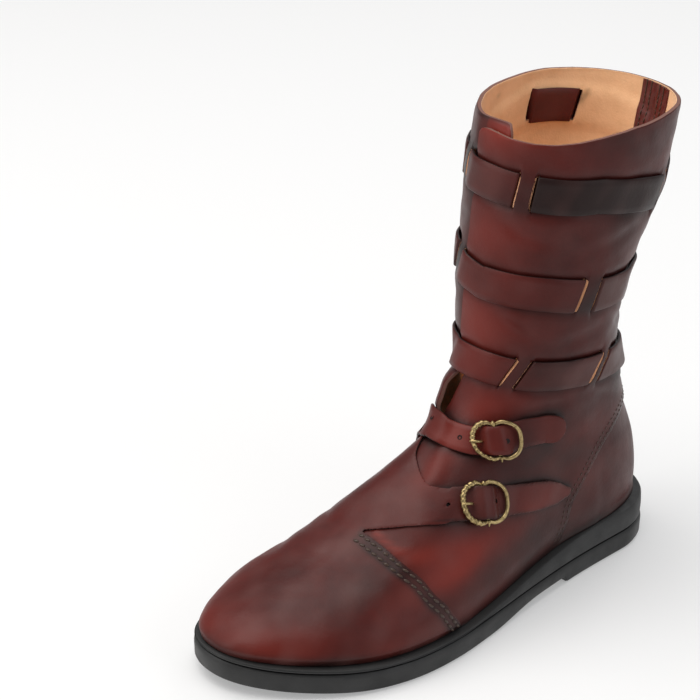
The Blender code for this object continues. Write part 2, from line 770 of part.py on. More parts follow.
def on_buckle(key, local):
    """Points of a buckle laid on the skin: along the strap, across it, outward."""
    path = ANKLE_STRAP if key == "upper" else VAMP_ARM
    centre, along, across, _ = path_axes(path, np.array([BUCKLE_TURN[key]]))
    points = project(centre + along * local[:, :1] + across * local[:, 1:2])
    return points + normals(points) * local[:, 2:3]


def build_buckle(key, strap_high):
    """Double frame with its centre bar, and the pin that rests on the strap and the frame."""
    angle = np.linspace(0, 2 * np.pi, 24, endpoint=False)
    c, s = np.cos(angle), np.sin(angle)
    x = BUCKLE_LONG / 2 * np.sign(c) * np.abs(c) ** 0.75
    pinch = 1 - 0.16 * np.exp(-(x / 3.5) ** 2)
    y = BUCKLE_HIGH / 2 * np.sign(s) * np.abs(s) ** 0.8 * pinch
    level = strap_high + GAP + 0.25 + BUCKLE_ROD
    lift = level - 1.0 * np.exp(-(x / 5.0) ** 2)
    frame_p, frame_f = tube(np.stack([x, y, lift], 1), BUCKLE_ROD)
    reach = BUCKLE_HIGH / 2 * 0.84
    bar_y = np.linspace(-reach, reach, 5)
    bar = np.stack([bar_y * 0, bar_y, np.full(5, level - 1.0)], 1)
    bar_p, bar_f = tube(bar, 1.0, closed=False)
    frame = add(key + "_buckle", on_buckle(key, frame_p), frame_f, BRASS)
    tool = add(key + "_bar", on_buckle(key, bar_p), bar_f, BRASS)
    tool.hide_render = True
    tool.display_type = "WIRE"
    mod = frame.modifiers.new("bar", "BOOLEAN")
    mod.operation = "UNION"
    mod.solver = "EXACT"
    mod.object = tool
    high = strap_high + HUMP + GAP + 1.3
    pin = np.array([[2.5, 0.0, high], [-2.0, 0.0, high], [-8.0, 0.0, high - 0.4],
                    [-14.2, 0.0, level + BUCKLE_ROD + GAP + 1.0]])
    pin_p, pin_f = tube(pin, 0.9, closed=False)
    add(key + "_pin", on_buckle(key, pin_p), pin_f, BRASS)


def build_straps():
    strap("shaft_strap_top", STRAP_TOP, INSIDE_TOP, strap_offset(0.0, 0.25), True, LEAN_TOP)
    strap("shaft_strap_middle", STRAP_MIDDLE, INSIDE_MIDDLE, strap_offset(2.5, 0.25), True, LEAN_MIDDLE)
    strap("shaft_strap_low", STRAP_LOW, INSIDE_LOW, strap_offset(2.0, 0.9), True, LEAN_LOW)
    strap("ankle_strap", ANKLE_STRAP, INSIDE_ANKLE, ankle_offset, False, 0.0, 0.45)


def build_stay():
    """Strip inside the back seam."""
    rows = np.linspace(0.54, 0.975, 17)
    turns = np.array([152.0, 164.0, 176.0])
    turn, v = np.meshgrid(turns, rows, indexing="ij")
    low = np.full(turn.shape, -(WALL + GAP + 0.9 + 1.2))
    top, bottom = offset_patch(turn, v, low, low + 1.2)
    p, f = sheet(top.reshape(-1, 3), bottom.reshape(-1, 3), grid_quads(3, len(rows)))
    add("back_stay", p, f, STRAP_LEATHER)


for old in list(bpy.data.objects):
    bpy.data.objects.remove(old, do_unlink=True)

LEATHER = material("leather", (0.16, 0.035, 0.03), 0.45)
STRAP_LEATHER = material("strap_leather", (0.10, 0.028, 0.026), 0.45)
RUBBER = material("rubber", (0.02, 0.02, 0.02), 0.7)
INSOLE = material("insole_leather", (0.55, 0.35, 0.2), 0.8)
BRASS = material("brass", (0.6, 0.47, 0.25), 0.35, 1.0)

build_sole()
boot_upper, strap_slits = build_upper()
build_counter(boot_upper)
build_vamp(strap_slits)
build_straps()
build_stay()
build_buckle("upper", GAP + 1.2 + STRAP_THICK)
build_buckle("lower", GAP + 0.4 + VAMP_THICK)
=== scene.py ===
"""Left buckled boot, dressed: leather panels, woven straps, stitches, buckles, sole and stage.

Sizes in the tables are millimetres; MM turns them into metres. The leather is one surface, the same as
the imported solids': a foot form and a leg form blended together. Places on it are given by v (0 at the
sole, 1 at the collar) and turn (degrees round the boot: 0 front, 90 outer side, 180 back).
"""
from collections import namedtuple

import bpy
import numpy as np
from mathutils import Matrix


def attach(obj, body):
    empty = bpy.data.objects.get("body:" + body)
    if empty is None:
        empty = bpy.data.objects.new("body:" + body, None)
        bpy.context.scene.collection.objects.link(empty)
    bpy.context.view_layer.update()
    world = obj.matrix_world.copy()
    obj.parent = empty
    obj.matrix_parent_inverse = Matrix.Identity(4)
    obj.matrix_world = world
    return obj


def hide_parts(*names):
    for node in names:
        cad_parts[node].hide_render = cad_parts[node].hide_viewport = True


bl_info = {
    "name": "Buckled boot",
    "version": (1, 0, 0),
    "blender": (4, 5, 0),
    "location": "View3D > Sidebar > Boot",
    "description": "Builds the leather, straps, buckles and sole of a boot around its packed solids",
    "category": "Add Mesh",
}

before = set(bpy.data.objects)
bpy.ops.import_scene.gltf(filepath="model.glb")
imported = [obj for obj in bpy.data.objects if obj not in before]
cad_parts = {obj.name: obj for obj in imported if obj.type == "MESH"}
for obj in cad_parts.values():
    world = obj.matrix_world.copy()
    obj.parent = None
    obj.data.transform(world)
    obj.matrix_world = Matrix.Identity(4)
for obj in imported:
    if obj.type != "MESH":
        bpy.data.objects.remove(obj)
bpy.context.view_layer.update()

MM = 0.001
SHIFT = np.array([-3.853 * MM, 0.0, 0.0])

# Main sizes
LENGTH = 300.0
LEDGE = 4.5
GAP = 0.35
COLLAR_DIP = 4.5
HEEL_TOP = 26.0
SOLE_DROP = 11.5
TOE_SPRING = 7.0
OUTSOLE_THICK = 12.0
BREAST_STEP = 4.0
HEEL_ROUND = 0.135
TOE_ROUND = 0.22
TOE_SWING = -20.0
FLAP_TURN = -16.0
FLAP_LIFT = 2.2
VAMP_LIFT = 1.9
SLIT_NARROW = 1.8
SLIT_WIDE = 3.0
BRIDGE_LIFT = 2.4
LONG_LEAN = 0.18
EDGE_WIDE = 0.75
HUMP = 4.6
HUMP_REACH = 6.0
RAY_REACH = 46.0
INNER_FACE = 2.55
STAY_TURN = 164.0
STAY_THICK = 1.3
HOLE_SIDES = 18

# Sole outline: fraction from heel to toe, lateral half width, medial half width
SOLE_ROWS = np.array([
    [0.00, 39.5, 34.0],
    [0.13, 39.5, 34.0],
    [0.27, 40.5, 30.0],
    [0.40, 44.0, 30.0],
    [0.52, 48.5, 37.0],
    [0.63, 52.0, 47.0],
    [0.72, 52.5, 53.0],
    [0.82, 49.0, 54.0],
    [0.92, 43.0, 50.0],
    [1.00, 39.0, 46.0]])

# Ridge of the foot form: fraction from heel to toe, height, place across
RIDGE_ROWS = np.array([
    [0.00, 60.0, 2.0],
    [0.10, 66.0, 2.0],
    [0.20, 84.0, 1.0],
    [0.30, 108.0, 0.0],
    [0.40, 120.0, -1.0],
    [0.48, 100.0, -3.0],
    [0.56, 85.0, -5.0],
    [0.64, 70.5, -8.0],
    [0.72, 56.2, -11.0],
    [0.80, 46.6, -14.0],
    [0.88, 41.5, -17.0],
    [0.95, 40.5, -19.0],
    [1.00, 41.0, -20.0]])

# Leg form: height, front y, back y, lateral half width, medial half width
LEG_ROWS = np.array([
    [15.0, 30.0, 142.0, 36.0, 29.0],
    [35.0, 30.0, 145.0, 37.5, 30.0],
    [60.0, 30.0, 142.0, 37.0, 31.0],
    [90.0, 24.0, 131.0, 36.0, 33.0],
    [120.0, 22.0, 121.0, 38.0, 36.0],
    [150.0, 24.0, 115.0, 42.0, 40.0],
    [172.0, 25.0, 115.5, 44.4, 42.3],
    [190.0, 26.0, 122.5, 46.0, 44.0],
    [230.0, 30.0, 141.0, 49.0, 46.0],
    [270.0, 36.0, 149.0, 51.0, 46.0]])

# Rings of the upper: v, rise above the sole at the toe end, rise at the heel end
RING_ROWS = np.array([
    [0.00, 0.0, 0.0],
    [0.10, 14.0, 12.0],
    [0.20, 30.0, 24.0],
    [0.30, 52.0, 38.0],
    [0.40, 84.0, 54.0],
    [0.50, 124.0, 76.0],
    [0.58, 158.0, 102.0],
    [0.66, 180.0, 134.0],
    [0.74, 194.0, 168.0],
    [0.84, 214.0, 206.0],
    [0.92, 238.0, 236.0],
    [1.00, 242.0, 242.0]])

# Straps, centre lines: turn, v
STRAP_TOP = np.array([
    [-138.0, 0.878], [-122.0, 0.883], [-106.0, 0.887], [-84.0, 0.873], [-60.0, 0.856], [-29.0, 0.850],
    [20.0, 0.845], [66.0, 0.845], [96.0, 0.830], [122.0, 0.813], [150.0, 0.840], [180.0, 0.864],
    [222.0, 0.878]])
STRAP_MIDDLE = np.array([
    [-155.0, 0.684], [-97.0, 0.690], [-38.0, 0.690], [0.0, 0.672], [47.0, 0.676],
    [80.0, 0.673], [118.0, 0.674], [142.0, 0.682], [180.0, 0.690], [205.0, 0.684]])
STRAP_LOW = np.array([
    [-145.0, 0.543], [-83.0, 0.545], [-21.0, 0.540], [33.0, 0.540], [60.5, 0.541],
    [95.0, 0.545], [119.0, 0.547], [154.0, 0.546], [215.0, 0.543]])
ANKLE_STRAP = np.array([
    [-139.0, 0.394], [-130.0, 0.380], [-118.5, 0.350], [-103.5, 0.330], [-88.5, 0.320],
    [-69.5, 0.325], [-50.0, 0.349], [-37.0, 0.381], [-22.5, 0.412], [-11.0, 0.419],
    [-4.0, 0.417], [16.0, 0.418], [31.0, 0.4275], [46.0, 0.441], [58.5, 0.4445], [72.5, 0.436]])

# Where a strap runs inside, behind a bridge of the shaft: first turn, last turn
INSIDE_TOP = [(-135.0, -107.5), (-39.0, -29.8), (19.5, 28.5), (118.5, 126.5)]
INSIDE_MIDDLE = [(-155.0, -136.0), (-34.5, -25.5), (70.0, 82.0)]
INSIDE_LOW = [(-87.0, -80.0), (26.2, 34.0), (94.5, 102.5)]
INSIDE_ANKLE = [(-63.0, -56.0)]

# Each strap: path, stretches inside, width, lean of its slits, how far it stands off at the back
Strap = namedtuple("Strap", "path spans width lean stand")
STRAPS = {
    "shaft_strap_top": Strap(STRAP_TOP, INSIDE_TOP, 19.0, 0.12, 0.0),
    "shaft_strap_middle": Strap(STRAP_MIDDLE, INSIDE_MIDDLE, 18.6, 0.18, 5.0),
    "shaft_strap_low": Strap(STRAP_LOW, INSIDE_LOW, 17.6, 0.45, 2.6),
    "ankle_strap": Strap(ANKLE_STRAP, INSIDE_ANKLE, 16.0, 0.0, 0.0),
}

# Vamp upper edge on the inner side, the throat and the root of its arm: turn, v
VAMP_TOP = np.array([
    [-118.0, 0.330], [-103.5, 0.330], [-88.5, 0.320], [-69.5, 0.325], [-50.0, 0.349],
    [-32.0, 0.384], [-20.0, 0.394], [-15.5, 0.386], [-12.6, 0.3792], [-6.2, 0.3701],
    [3.6, 0.3571], [10.9, 0.3491], [18.4, 0.3472], [23.5, 0.3470], [30.5, 0.3459], [36.0, 0.3450]])
# Lower edge of the arm from the buckle back to the point of the wedge: turn, v
ARM_LOW = np.array([
    [39.0, 0.320], [37.0, 0.2959], [29.4, 0.2946], [18.6, 0.2897], [7.6, 0.2804], [-4.6, 0.2685]])
# Vamp seam on the outer side: turn, v
VAMP_SEAM = np.array([
    [-5.3, 0.2658], [5.0, 0.2613], [17.6, 0.2509], [32.4, 0.2288], [49.0, 0.1907], [58.0, 0.1565],
    [65.5, 0.1211], [73.6, 0.0535], [76.4, 0.0052], [77.5, -0.03]])
# Lower buckle strap, an arm of the vamp: turn, v of the centre line, width
VAMP_ARM = np.array([
    [6.7, 0.3166, 21.0],
    [18.3, 0.3215, 19.0],
    [30.6, 0.3235, 17.8],
    [40.8, 0.3220, 17.6],
    [51.0, 0.3172, 16.8],
    [60.7, 0.3112, 16.2],
    [71.0, 0.3017, 16.0],
    [79.7, 0.2901, 16.0],
    [88.6, 0.2753, 15.0],
    [96.3, 0.2573, 12.0],
    [101.6, 0.2463, 6.0]])
# Rim of the shaft: turn, v
RIM_ROWS = np.array([
    [-20.0, 0.916], [-8.0, 0.9265], [0.0, 0.924], [10.0, 0.919], [26.0, 0.920], [38.0, 0.927],
    [50.0, 0.945], [62.0, 0.970], [80.0, 0.999], [115.0, 0.999], [140.0, 0.975], [165.0, 0.965],
    [200.0, 0.965], [225.0, 0.985], [245.0, 0.999], [380.0, 0.999]])

# Heel counter: turn from the back centre, v of its upper edge
COUNTER_EDGE = np.array([
    [-66.0, -0.03], [-66.4, 0.10], [-69.0, 0.20], [-67.2, 0.300], [-65.0, 0.335], [-58.0, 0.378],
    [-43.0, 0.420], [-28.0, 0.436], [-14.0, 0.443], [0.0, 0.446], [14.0, 0.443], [28.0, 0.436],
    [43.0, 0.420], [58.0, 0.378], [65.0, 0.335], [67.2, 0.300], [69.0, 0.20], [66.4, 0.10],
    [66.0, -0.03]])

BUCKLE_TURN = {"upper": 30.4, "lower": 49.8}
BUCKLE_LONG = {"upper": 23.6, "lower": 25.6}
BUCKLE_HIGH = {"upper": 20.8, "lower": 21.6}

# Scale of the flat map used for borders: millimetres per degree and per unit of v
MAP_TURN = 0.85
MAP_V = 190.0


def smooth(t):
    t = np.clip(t, 0.0, 1.0)
    return t * t * (3.0 - 2.0 * t)


def curve(rows, column, t):
    """Smooth value of one table column at t."""
    x = rows[:, 0]
    y = rows[:, column]
    t = np.clip(np.asarray(t, float), x[0], x[-1])
    slope = np.gradient(y, x)
    i = np.clip(np.searchsorted(x, t) - 1, 0, len(x) - 2)
    h = x[i + 1] - x[i]
    u = (t - x[i]) / h
    first = (2 * u**3 - 3 * u**2 + 1) * y[i] + (u**3 - 2 * u**2 + u) * h * slope[i]
    second = (-2 * u**3 + 3 * u**2) * y[i + 1] + (u**3 - u**2) * h * slope[i + 1]
    return first + second


def line(rows, column, t):
    return np.interp(t, rows[:, 0], rows[:, column])


def half_turn(turn):
    """Turn brought between -180 and 180 degrees."""
    return (turn + 180.0) % 360.0 - 180.0


def flat_grid(turns, rows):
    """Turn and v of every point of a grid, as two long rows."""
    turn, v = np.meshgrid(turns, rows, indexing="ij")
    return turn.ravel(), v.ravel()


def fraction(y):
    """Share of the sole's length from the heel."""
    return (LENGTH / 2 - y) / LENGTH


def spring(s):
    """Rise of the sole towards the toe."""
    return TOE_SPRING * np.clip((s - 0.70) / 0.30, 0.0, None) ** 2


def feather(s):
    """Height of the top of the sole."""
    return HEEL_TOP - SOLE_DROP * smooth((s - 0.20) / 0.42) + spring(s)


def end_round(s, heel, toe, power=2.2):
    e = np.where(s < heel, np.sqrt(np.clip(1 - (1 - s / heel) ** 2, 0, 1)), 1.0)
    tip = np.clip((s - 1 + toe) / toe, 0, 1)
    return np.where(s > 1 - toe, np.clip(1 - tip**power, 0, 1) ** (1 / power), e)


def swing(s):
    """Sideways bend of the sole towards the toe."""
    return TOE_SWING * np.clip((s - 0.58) / 0.42, 0, 1) ** 2


def half_widths(s, inset):
    """Centre, lateral and medial half width of the sole outline drawn in by inset."""
    t = np.clip((s - inset / LENGTH) / (1 - 2 * inset / LENGTH), 0, 1)
    e = end_round(t, HEEL_ROUND, TOE_ROUND)
    lateral = (curve(SOLE_ROWS, 1, t) - inset) * e
    medial = (curve(SOLE_ROWS, 2, t) - inset) * e
    return swing(t), lateral, medial


def foot_field(x, y, z):
    s = fraction(y)
    inset = LEDGE - 1.5
    centre, lateral, medial = half_widths(s, inset)
    base = feather(s)
    cut = (s - inset / LENGTH) / (1 - 2 * inset / LENGTH)
    rise = (curve(RIDGE_ROWS, 1, s) - base) * end_round(np.clip(cut, 0, 1), 1e-6, 0.20, 2.0)
    rise = np.maximum(rise, 1e-3)
    up = z - base
    level = np.clip(up / rise, 0, None)
    across = centre + (curve(RIDGE_ROWS, 2, s) - centre) * np.clip(level, 0, 1) * 0.9
    tuck = 1 - 0.05 * (1 - smooth(up / 16.0))
    wide = np.maximum(np.where(x > across, lateral, medial) * tuck, 1e-3)
    p, q = 2.3, 2.05
    rho = (np.abs((x - across) / wide) ** p + level**q) ** (2 / (p + q))
    reach = np.hypot(x - across, np.maximum(up, 0))
    d = reach * (1 - 1 / np.maximum(rho, 1e-6))
    d = d + 40 * smooth((0.22 - s) / 0.14)
    past = np.maximum((s - 1 + inset / LENGTH) * LENGTH, 0)
    return np.where(s > 1 - inset / LENGTH, np.maximum(d, past), d)


def leg_field(x, y, z):
    h = np.clip(z, LEG_ROWS[0, 0], LEG_ROWS[-1, 0])
    front, back, lateral, medial = (curve(LEG_ROWS, i, h) for i in (1, 2, 3, 4))
    mid_y, deep = (front + back) / 2, (back - front) / 2
    mid_x, wide = (lateral - medial) / 2, (lateral + medial) / 2
    n = 2.2
    rho = (np.abs((x - mid_x) / wide) ** n + np.abs((y - mid_y) / deep) ** n) ** (1 / n)
    return np.hypot(x - mid_x, y - mid_y) * (1 - 1 / np.maximum(rho, 1e-6))


def field(x, y, z):
    """Below zero inside the leather's outer surface."""
    a = foot_field(x, y, z)
    b = leg_field(x, y, z)
    k = 6 + 26 * smooth((z - 45) / 75)
    h = np.clip(0.5 + 0.5 * (b - a) / k, 0, 1)
    return b + (a - b) * h - k * h * (1 - h)


def ring_height(v, y):
    s = fraction(y)
    rise = curve(RING_ROWS, 1, v) * s + curve(RING_ROWS, 2, v) * (1 - s)
    keep = 1 - smooth(v / 0.5)
    level = smooth((v - 0.7) / 0.3) - smooth((v - 0.92) / 0.08)
    dip = COLLAR_DIP * level * np.clip(1 - ((y - 92) / 57) ** 2, 0, 1)
    return rise + (feather(s) + GAP) * keep + HEEL_TOP * (1 - keep) - dip


def bisect(inside, span):
    low = np.zeros_like(span)
    high = span.copy()
    for _ in range(22):
        mid = (low + high) / 2
        within = inside(mid)
        low = np.where(within, mid, low)
        high = np.where(within, high, mid)
    return (low + high) / 2


def ring_end(v, sign):
    """Front (sign -1) or back (sign 1) y of the ring at v."""
    def inside(t):
        y = 85.0 + sign * t
        return field(np.full_like(t, -2.0), y, ring_height(v, y)) < 0
    return 85.0 + sign * bisect(inside, np.full_like(v, 320.0))


RING_V = np.linspace(0.0, 1.0, 801)
RING_FRONT = ring_end(RING_V, -1.0)
RING_BACK = ring_end(RING_V, 1.0)


def ray_start(v, angle):
    """Place across and along the boot where the ray that finds the skin starts."""
    front = np.interp(v, RING_V, RING_FRONT)
    back = np.interp(v, RING_V, RING_BACK)
    mid, half = (front + back) / 2, (back - front) / 2
    y = mid - (half - np.minimum(half, RAY_REACH)) * np.cos(angle)
    return swing(np.clip(fraction(y), 0, 1)) * 0.8, y


def skin(turn, v):
    """Points of the outer surface at turn (degrees) and v."""
    turn, v = np.broadcast_arrays(np.asarray(turn, float), np.asarray(v, float))
    shape = v.shape
    angle = np.radians(turn.ravel())
    v = np.clip(v.ravel(), 0.0, 1.0)
    start_x, start_y = ray_start(v, angle)

    def inside(t):
        y = start_y - t * np.cos(angle)
        return field(start_x + t * np.sin(angle), y, ring_height(v, y)) < 0

    t = bisect(inside, np.full_like(v, 120.0))
    y = start_y - t * np.cos(angle)
    points = np.stack([start_x + t * np.sin(angle), y, ring_height(v, y)], -1)
    return points.reshape(shape + (3,))


def normals(points):
    e = 0.2
    x, y, z = points[..., 0], points[..., 1], points[..., 2]
    g = np.stack([field(x + e, y, z) - field(x - e, y, z),
                  field(x, y + e, z) - field(x, y - e, z),
                  field(x, y, z + e) - field(x, y, z - e)], -1)
    return g / np.maximum(np.linalg.norm(g, axis=-1, keepdims=True), 1e-9)


def project(points):
    """Points moved on to the outer surface."""
    p = np.array(points, float)
    for _ in range(5):
        p = p - 0.9 * field(p[..., 0], p[..., 1], p[..., 2])[..., None] * normals(p)
    return p


def unit(a):
    return a / np.maximum(np.linalg.norm(a, axis=-1, keepdims=True), 1e-9)


def path_axes(path, turns):
    """Centre points of a strap's path, its directions along and across, millimetres per degree."""
    turns = np.asarray(turns, float)
    centre = skin(turns, line(path, 1, turns))
    ahead = skin(turns + 1.5, line(path, 1, turns + 1.5))
    behind = skin(turns - 1.5, line(path, 1, turns - 1.5))
    n = normals(centre)
    along = ahead - behind
    along = along - n * np.sum(along * n, -1, keepdims=True)
    per_turn = np.linalg.norm(along, axis=-1) / 3.0
    along = unit(along)
    return centre, along, np.cross(n, along), per_turn


def wrap_path(path):
    """Path of a closed strap repeated on both sides, so that it can be read past its ends."""
    before = path[:-1] - np.array([360.0, 0.0])
    after = path[1:] + np.array([360.0, 0.0])
    return np.concatenate([before, path, after])


def track_of(name):
    path = STRAPS[name].path
    return path if name == "ankle_strap" else wrap_path(path)


def wobble(points, size, seed):
    """Slow unevenness between -1 and 1, repeatable, with waves about size long."""
    rng = np.random.default_rng(seed)
    total = 0.0
    for _ in range(7):
        way = unit(rng.normal(size=3)) * (2 * np.pi / (size * rng.uniform(0.6, 1.5)))
        total = total + np.sin(points @ way + rng.uniform(0, 2 * np.pi))
    return total / 3.5


def border(loop, turn, v):
    """Millimetres inside (above zero) or outside a closed loop of turn and v, on the flat map."""
    poly = loop * np.array([MAP_TURN, MAP_V])
    px, py = turn * MAP_TURN, v * MAP_V
    best = np.full(px.shape, 1e9)
    odd = np.zeros(px.shape, bool)
    for (ax, ay), (bx, by) in zip(poly, np.roll(poly, -1, 0)):
        ex, ey = bx - ax, by - ay
        size = max(ex * ex + ey * ey, 1e-9)
        t = np.clip(((px - ax) * ex + (py - ay) * ey) / size, 0, 1)
        best = np.minimum(best, np.hypot(px - ax - t * ex, py - ay - t * ey))
        if ay != by:
            odd ^= ((ay > py) != (by > py)) & (px < ex * (py - ay) / ey + ax)
    return np.where(odd, best, -best)


def dense(rows, count):
    """More points along a table's curve of turn and v."""
    step = np.hypot(np.diff(rows[:, 0]) * MAP_TURN, np.diff(rows[:, 1]) * MAP_V)
    run = np.concatenate([[0], np.cumsum(step)])
    t = np.linspace(0, run[-1], count)
    table = np.column_stack([run, rows])
    return np.stack([curve(table, 1, t), curve(table, 2, t)], 1)


def trim(turns, rows, keep):
    """Points (turn, v) and faces of a grid, cut along keep = 0."""
    columns, count = keep.shape
    grid = np.stack(np.meshgrid(turns, rows, indexing="ij"), -1).reshape(-1, 2)
    value = keep.ravel()
    inside = keep > 0
    base = np.arange(columns * count).reshape(columns, count)
    corners = [inside[:-1, :-1], inside[1:, :-1], inside[1:, 1:], inside[:-1, 1:]]
    total = sum(c.astype(int) for c in corners)
    i, k = np.nonzero(total == 4)
    faces = np.stack([base[i, k], base[i + 1, k], base[i + 1, k + 1], base[i, k + 1]], 1).tolist()
    added = {}
    extra = []
    for i, k in zip(*np.nonzero((total > 0) & (total < 4))):
        ring = [base[i, k], base[i + 1, k], base[i + 1, k + 1], base[i, k + 1]]
        face = []
        for a, b in zip(ring, ring[1:] + ring[:1]):
            if value[a] > 0:
                face.append(int(a))
            if (value[a] > 0) != (value[b] > 0):
                key = (min(a, b), max(a, b))
                if key not in added:
                    t = np.clip(value[a] / (value[a] - value[b]), 0.03, 0.97)
                    added[key] = len(grid) + len(extra)
                    extra.append(grid[a] * (1 - t) + grid[b] * t)
                face.append(added[key])
        if len(face) >= 3:
            faces.append(face)
    points = np.concatenate([grid, np.array(extra).reshape(-1, 2)])
    used = np.zeros(len(points), bool)
    for face in faces:
        used[face] = True
    index = np.cumsum(used) - 1
    return points[used], [[int(index[q]) for q in face] for face in faces]


def rim_edges(faces):
    """Edges that belong to one face only, in that face's direction."""
    seen = {}
    for face in faces:
        for a, b in zip(face, face[1:] + face[:1]):
            seen[(a, b)] = True
    return [(a, b) for a, b in seen if (b, a) not in seen]


def tube(rings, sides, closed=False):
    """Faces that join rings of points one after the other."""
    faces = []
    for i in range(rings if closed else rings - 1):
        j = (i + 1) % rings
        for k in range(sides):
            m = (k + 1) % sides
            faces.append([i * sides + k, i * sides + m, j * sides + m, j * sides + k])
    return faces


def two_sided(faces, count):
    """Faces of a sheet, of its other side and of the edge between them, with the rim of the sheet."""
    edges = rim_edges(faces)
    every = faces + [[count + q for q in reversed(face)] for face in faces]
    return every + [[b, a, count + a, count + b] for a, b in edges], edges


def add_object(name, points, faces, materials, index=None, tint=None, sharp=38.0):
    """Mesh object in metres, smooth, riding on the boot."""
    mesh = bpy.data.meshes.new(name)
    mesh.from_pydata((np.asarray(points) * MM - SHIFT).tolist(), [], faces)
    for mat in materials:
        mesh.materials.append(mat)
    if index is not None:
        mesh.polygons.foreach_set("material_index", np.asarray(index, np.int32))
    mesh.polygons.foreach_set("use_smooth", np.ones(len(mesh.polygons), bool))
    mesh.set_sharp_from_angle(angle=np.radians(sharp))
    if tint is not None:
        # The colour attribute holds stains together with painted shade, painted highlights and painted
        # sheen.
        layer = mesh.color_attributes.new("stain_and_painted_light", "FLOAT_COLOR", "POINT")
        layer.data.foreach_set("color", np.asarray(tint, np.float32).ravel())
    mesh.update()
    ob = bpy.data.objects.new(name, mesh)
    bpy.context.scene.collection.objects.link(ob)
    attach(ob, "root")
    return ob


def leather_panel(name, flat, faces, high, thick, materials, tint, raw=None):
    """Leather sheet over the skin: outer face, flesh side and cut edges that are slightly rounded."""
    points = skin(flat[:, 0], flat[:, 1])
    n = normals(points)
    flat_n = n.copy()
    flat_n[:, 2] *= smooth(flat[:, 1] / 0.06)
    flat_n = unit(flat_n)
    high = high(flat[:, 0], flat[:, 1], points)
    thick = np.broadcast_to(thick, high.shape)
    count = len(points)
    every, edges = two_sided(faces, count)
    rim = np.zeros(count, bool)
    rim[np.array(edges).ravel()] = True
    top = points + n * (high - np.where(rim, 0.32, 0.0))[:, None]
    low = points + n * high[:, None] - flat_n * (thick - np.where(rim, 0.25, 0.0))[:, None]
    cut = np.zeros(count, bool) if raw is None else raw(points)
    index = [0] * len(faces) + [1] * len(faces)
    index += [3 if cut[a] and cut[b] else 2 for a, b in edges]
    colour = tint(flat[:, 0], flat[:, 1], points)
    return add_object(name, np.concatenate([top, low]), every, materials, index,
                      np.concatenate([colour, colour]))


def vamp_loop():
    """Border of the vamp without its arm, as turn and v."""
    return np.concatenate([[[-118.0, -0.03]], dense(VAMP_TOP, 70), ARM_LOW, dense(VAMP_SEAM, 60)])


def counter_loop():
    edge = dense(COUNTER_EDGE, 120)
    return edge + np.array([180.0, 0.0])


def strip_place(points, path, turns, half):
    """Nearest place on a strap: distance inside its edge, turn there."""
    centre = skin(turns, line(path, 1, turns))
    inside = np.full(len(points), -99.0)
    turn = np.zeros(len(points))
    for first in range(0, len(points), 4000):
        part = points[first:first + 4000]
        gap = np.linalg.norm(part[:, None] - centre[None], axis=2)
        near = np.argmin(gap, 1)
        inside[first:first + 4000] = half[near] - gap[np.arange(len(part)), near]
        turn[first:first + 4000] = turns[near]
    return inside, turn


def arm_place(points):
    turns = np.arange(24.0, 101.7, 0.4)
    return strip_place(points, VAMP_ARM, turns, line(VAMP_ARM, 2, turns) / 2)


def ankle_half(turns):
    """Half the width of the ankle strap: wider where it turns over the instep, round at its end."""
    half = 8.0 * (1 + 0.28 * np.exp(-((turns + 22.0) / 13.0) ** 2))
    left = (ANKLE_STRAP[-1, 0] - turns) * 1.0
    return half * np.sqrt(np.clip(1 - np.clip(1 - left / 10.0, 0, 1) ** 2.2, 0.0025, 1))


def ankle_place(points):
    turns = np.arange(-139.0, 72.6, 0.75)
    return strip_place(points, ANKLE_STRAP, turns, ankle_half(turns))


def place_of(points, turn):
    """Turn and v of points near the skin, from a first guess of the turn."""
    v = np.array([np.interp(q[2], ring_height(RING_V, q[1]), RING_V) for q in points])
    angle = np.full(v.shape, np.radians(turn))
    for _ in range(6):
        start_x, start_y = ray_start(v, angle)
        angle = np.arctan2(points[:, 0] - start_x, start_y - points[:, 1])
    return np.degrees(angle), v


def lobe(turn, v, at, reach):
    """Soft round patch on the flat map, 1 in its middle."""
    away = half_turn(turn - at[0])
    return np.exp(-((away / reach[0]) ** 2 + ((v - at[1]) / reach[1]) ** 2))


# Stains, painted shade and painted highlights read off the photo: turn, v, reach in turn, reach in v,
# darker, redder
# Darker patches on the outer side, between the straps and round the ankle paint shade away from the light;
# lighter, redder patches on the front of the shaft paint highlights; the rest are stains and the leather's
# own tone.
STAINS_AND_PAINTED_LIGHT = [
    (58.0, 0.205, 17.0, 0.060, -0.30, 0.95),
    (36.0, 0.245, 14.0, 0.020, -0.20, 0.70),
    (92.0, 0.140, 18.0, 0.080, 0.30, 0.0),
    (8.0, 0.375, 10.0, 0.040, -0.30, 0.60),
    (10.0, 0.470, 22.0, 0.045, -0.25, 0.60),
    (95.0, 0.350, 28.0, 0.040, 0.25, 0.0),
    (2.0, 0.610, 26.0, 0.060, -0.25, 0.55),
    (0.0, 0.770, 24.0, 0.070, -0.25, 0.60),
    (0.0, 0.930, 26.0, 0.040, -0.42, 0.80),
    (58.0, 0.378, 26.0, 0.030, 0.45, 0.0),
    (30.0, 0.060, 40.0, 0.050, -0.10, 0.45),
    (-30.0, 0.060, 40.0, 0.060, -0.05, 0.35),
    (30.0, 0.190, 18.0, 0.050, 0.30, 0.0),
    (120.0, 0.480, 34.0, 0.060, 0.25, 0.0),
    (120.0, 0.620, 40.0, 0.080, 0.25, 0.0),
    (110.0, 0.780, 40.0, 0.070, 0.22, 0.0),
    (90.0, 0.930, 45.0, 0.050, 0.22, 0.0),
    (108.0, 0.050, 26.0, 0.050, 0.30, 0.0),
    (-100.0, 0.160, 30.0, 0.080, -0.05, 0.35),
    (-60.0, 0.600, 50.0, 0.060, -0.05, 0.30),
    (-100.0, 0.780, 40.0, 0.050, 0.10, 0.25),
]


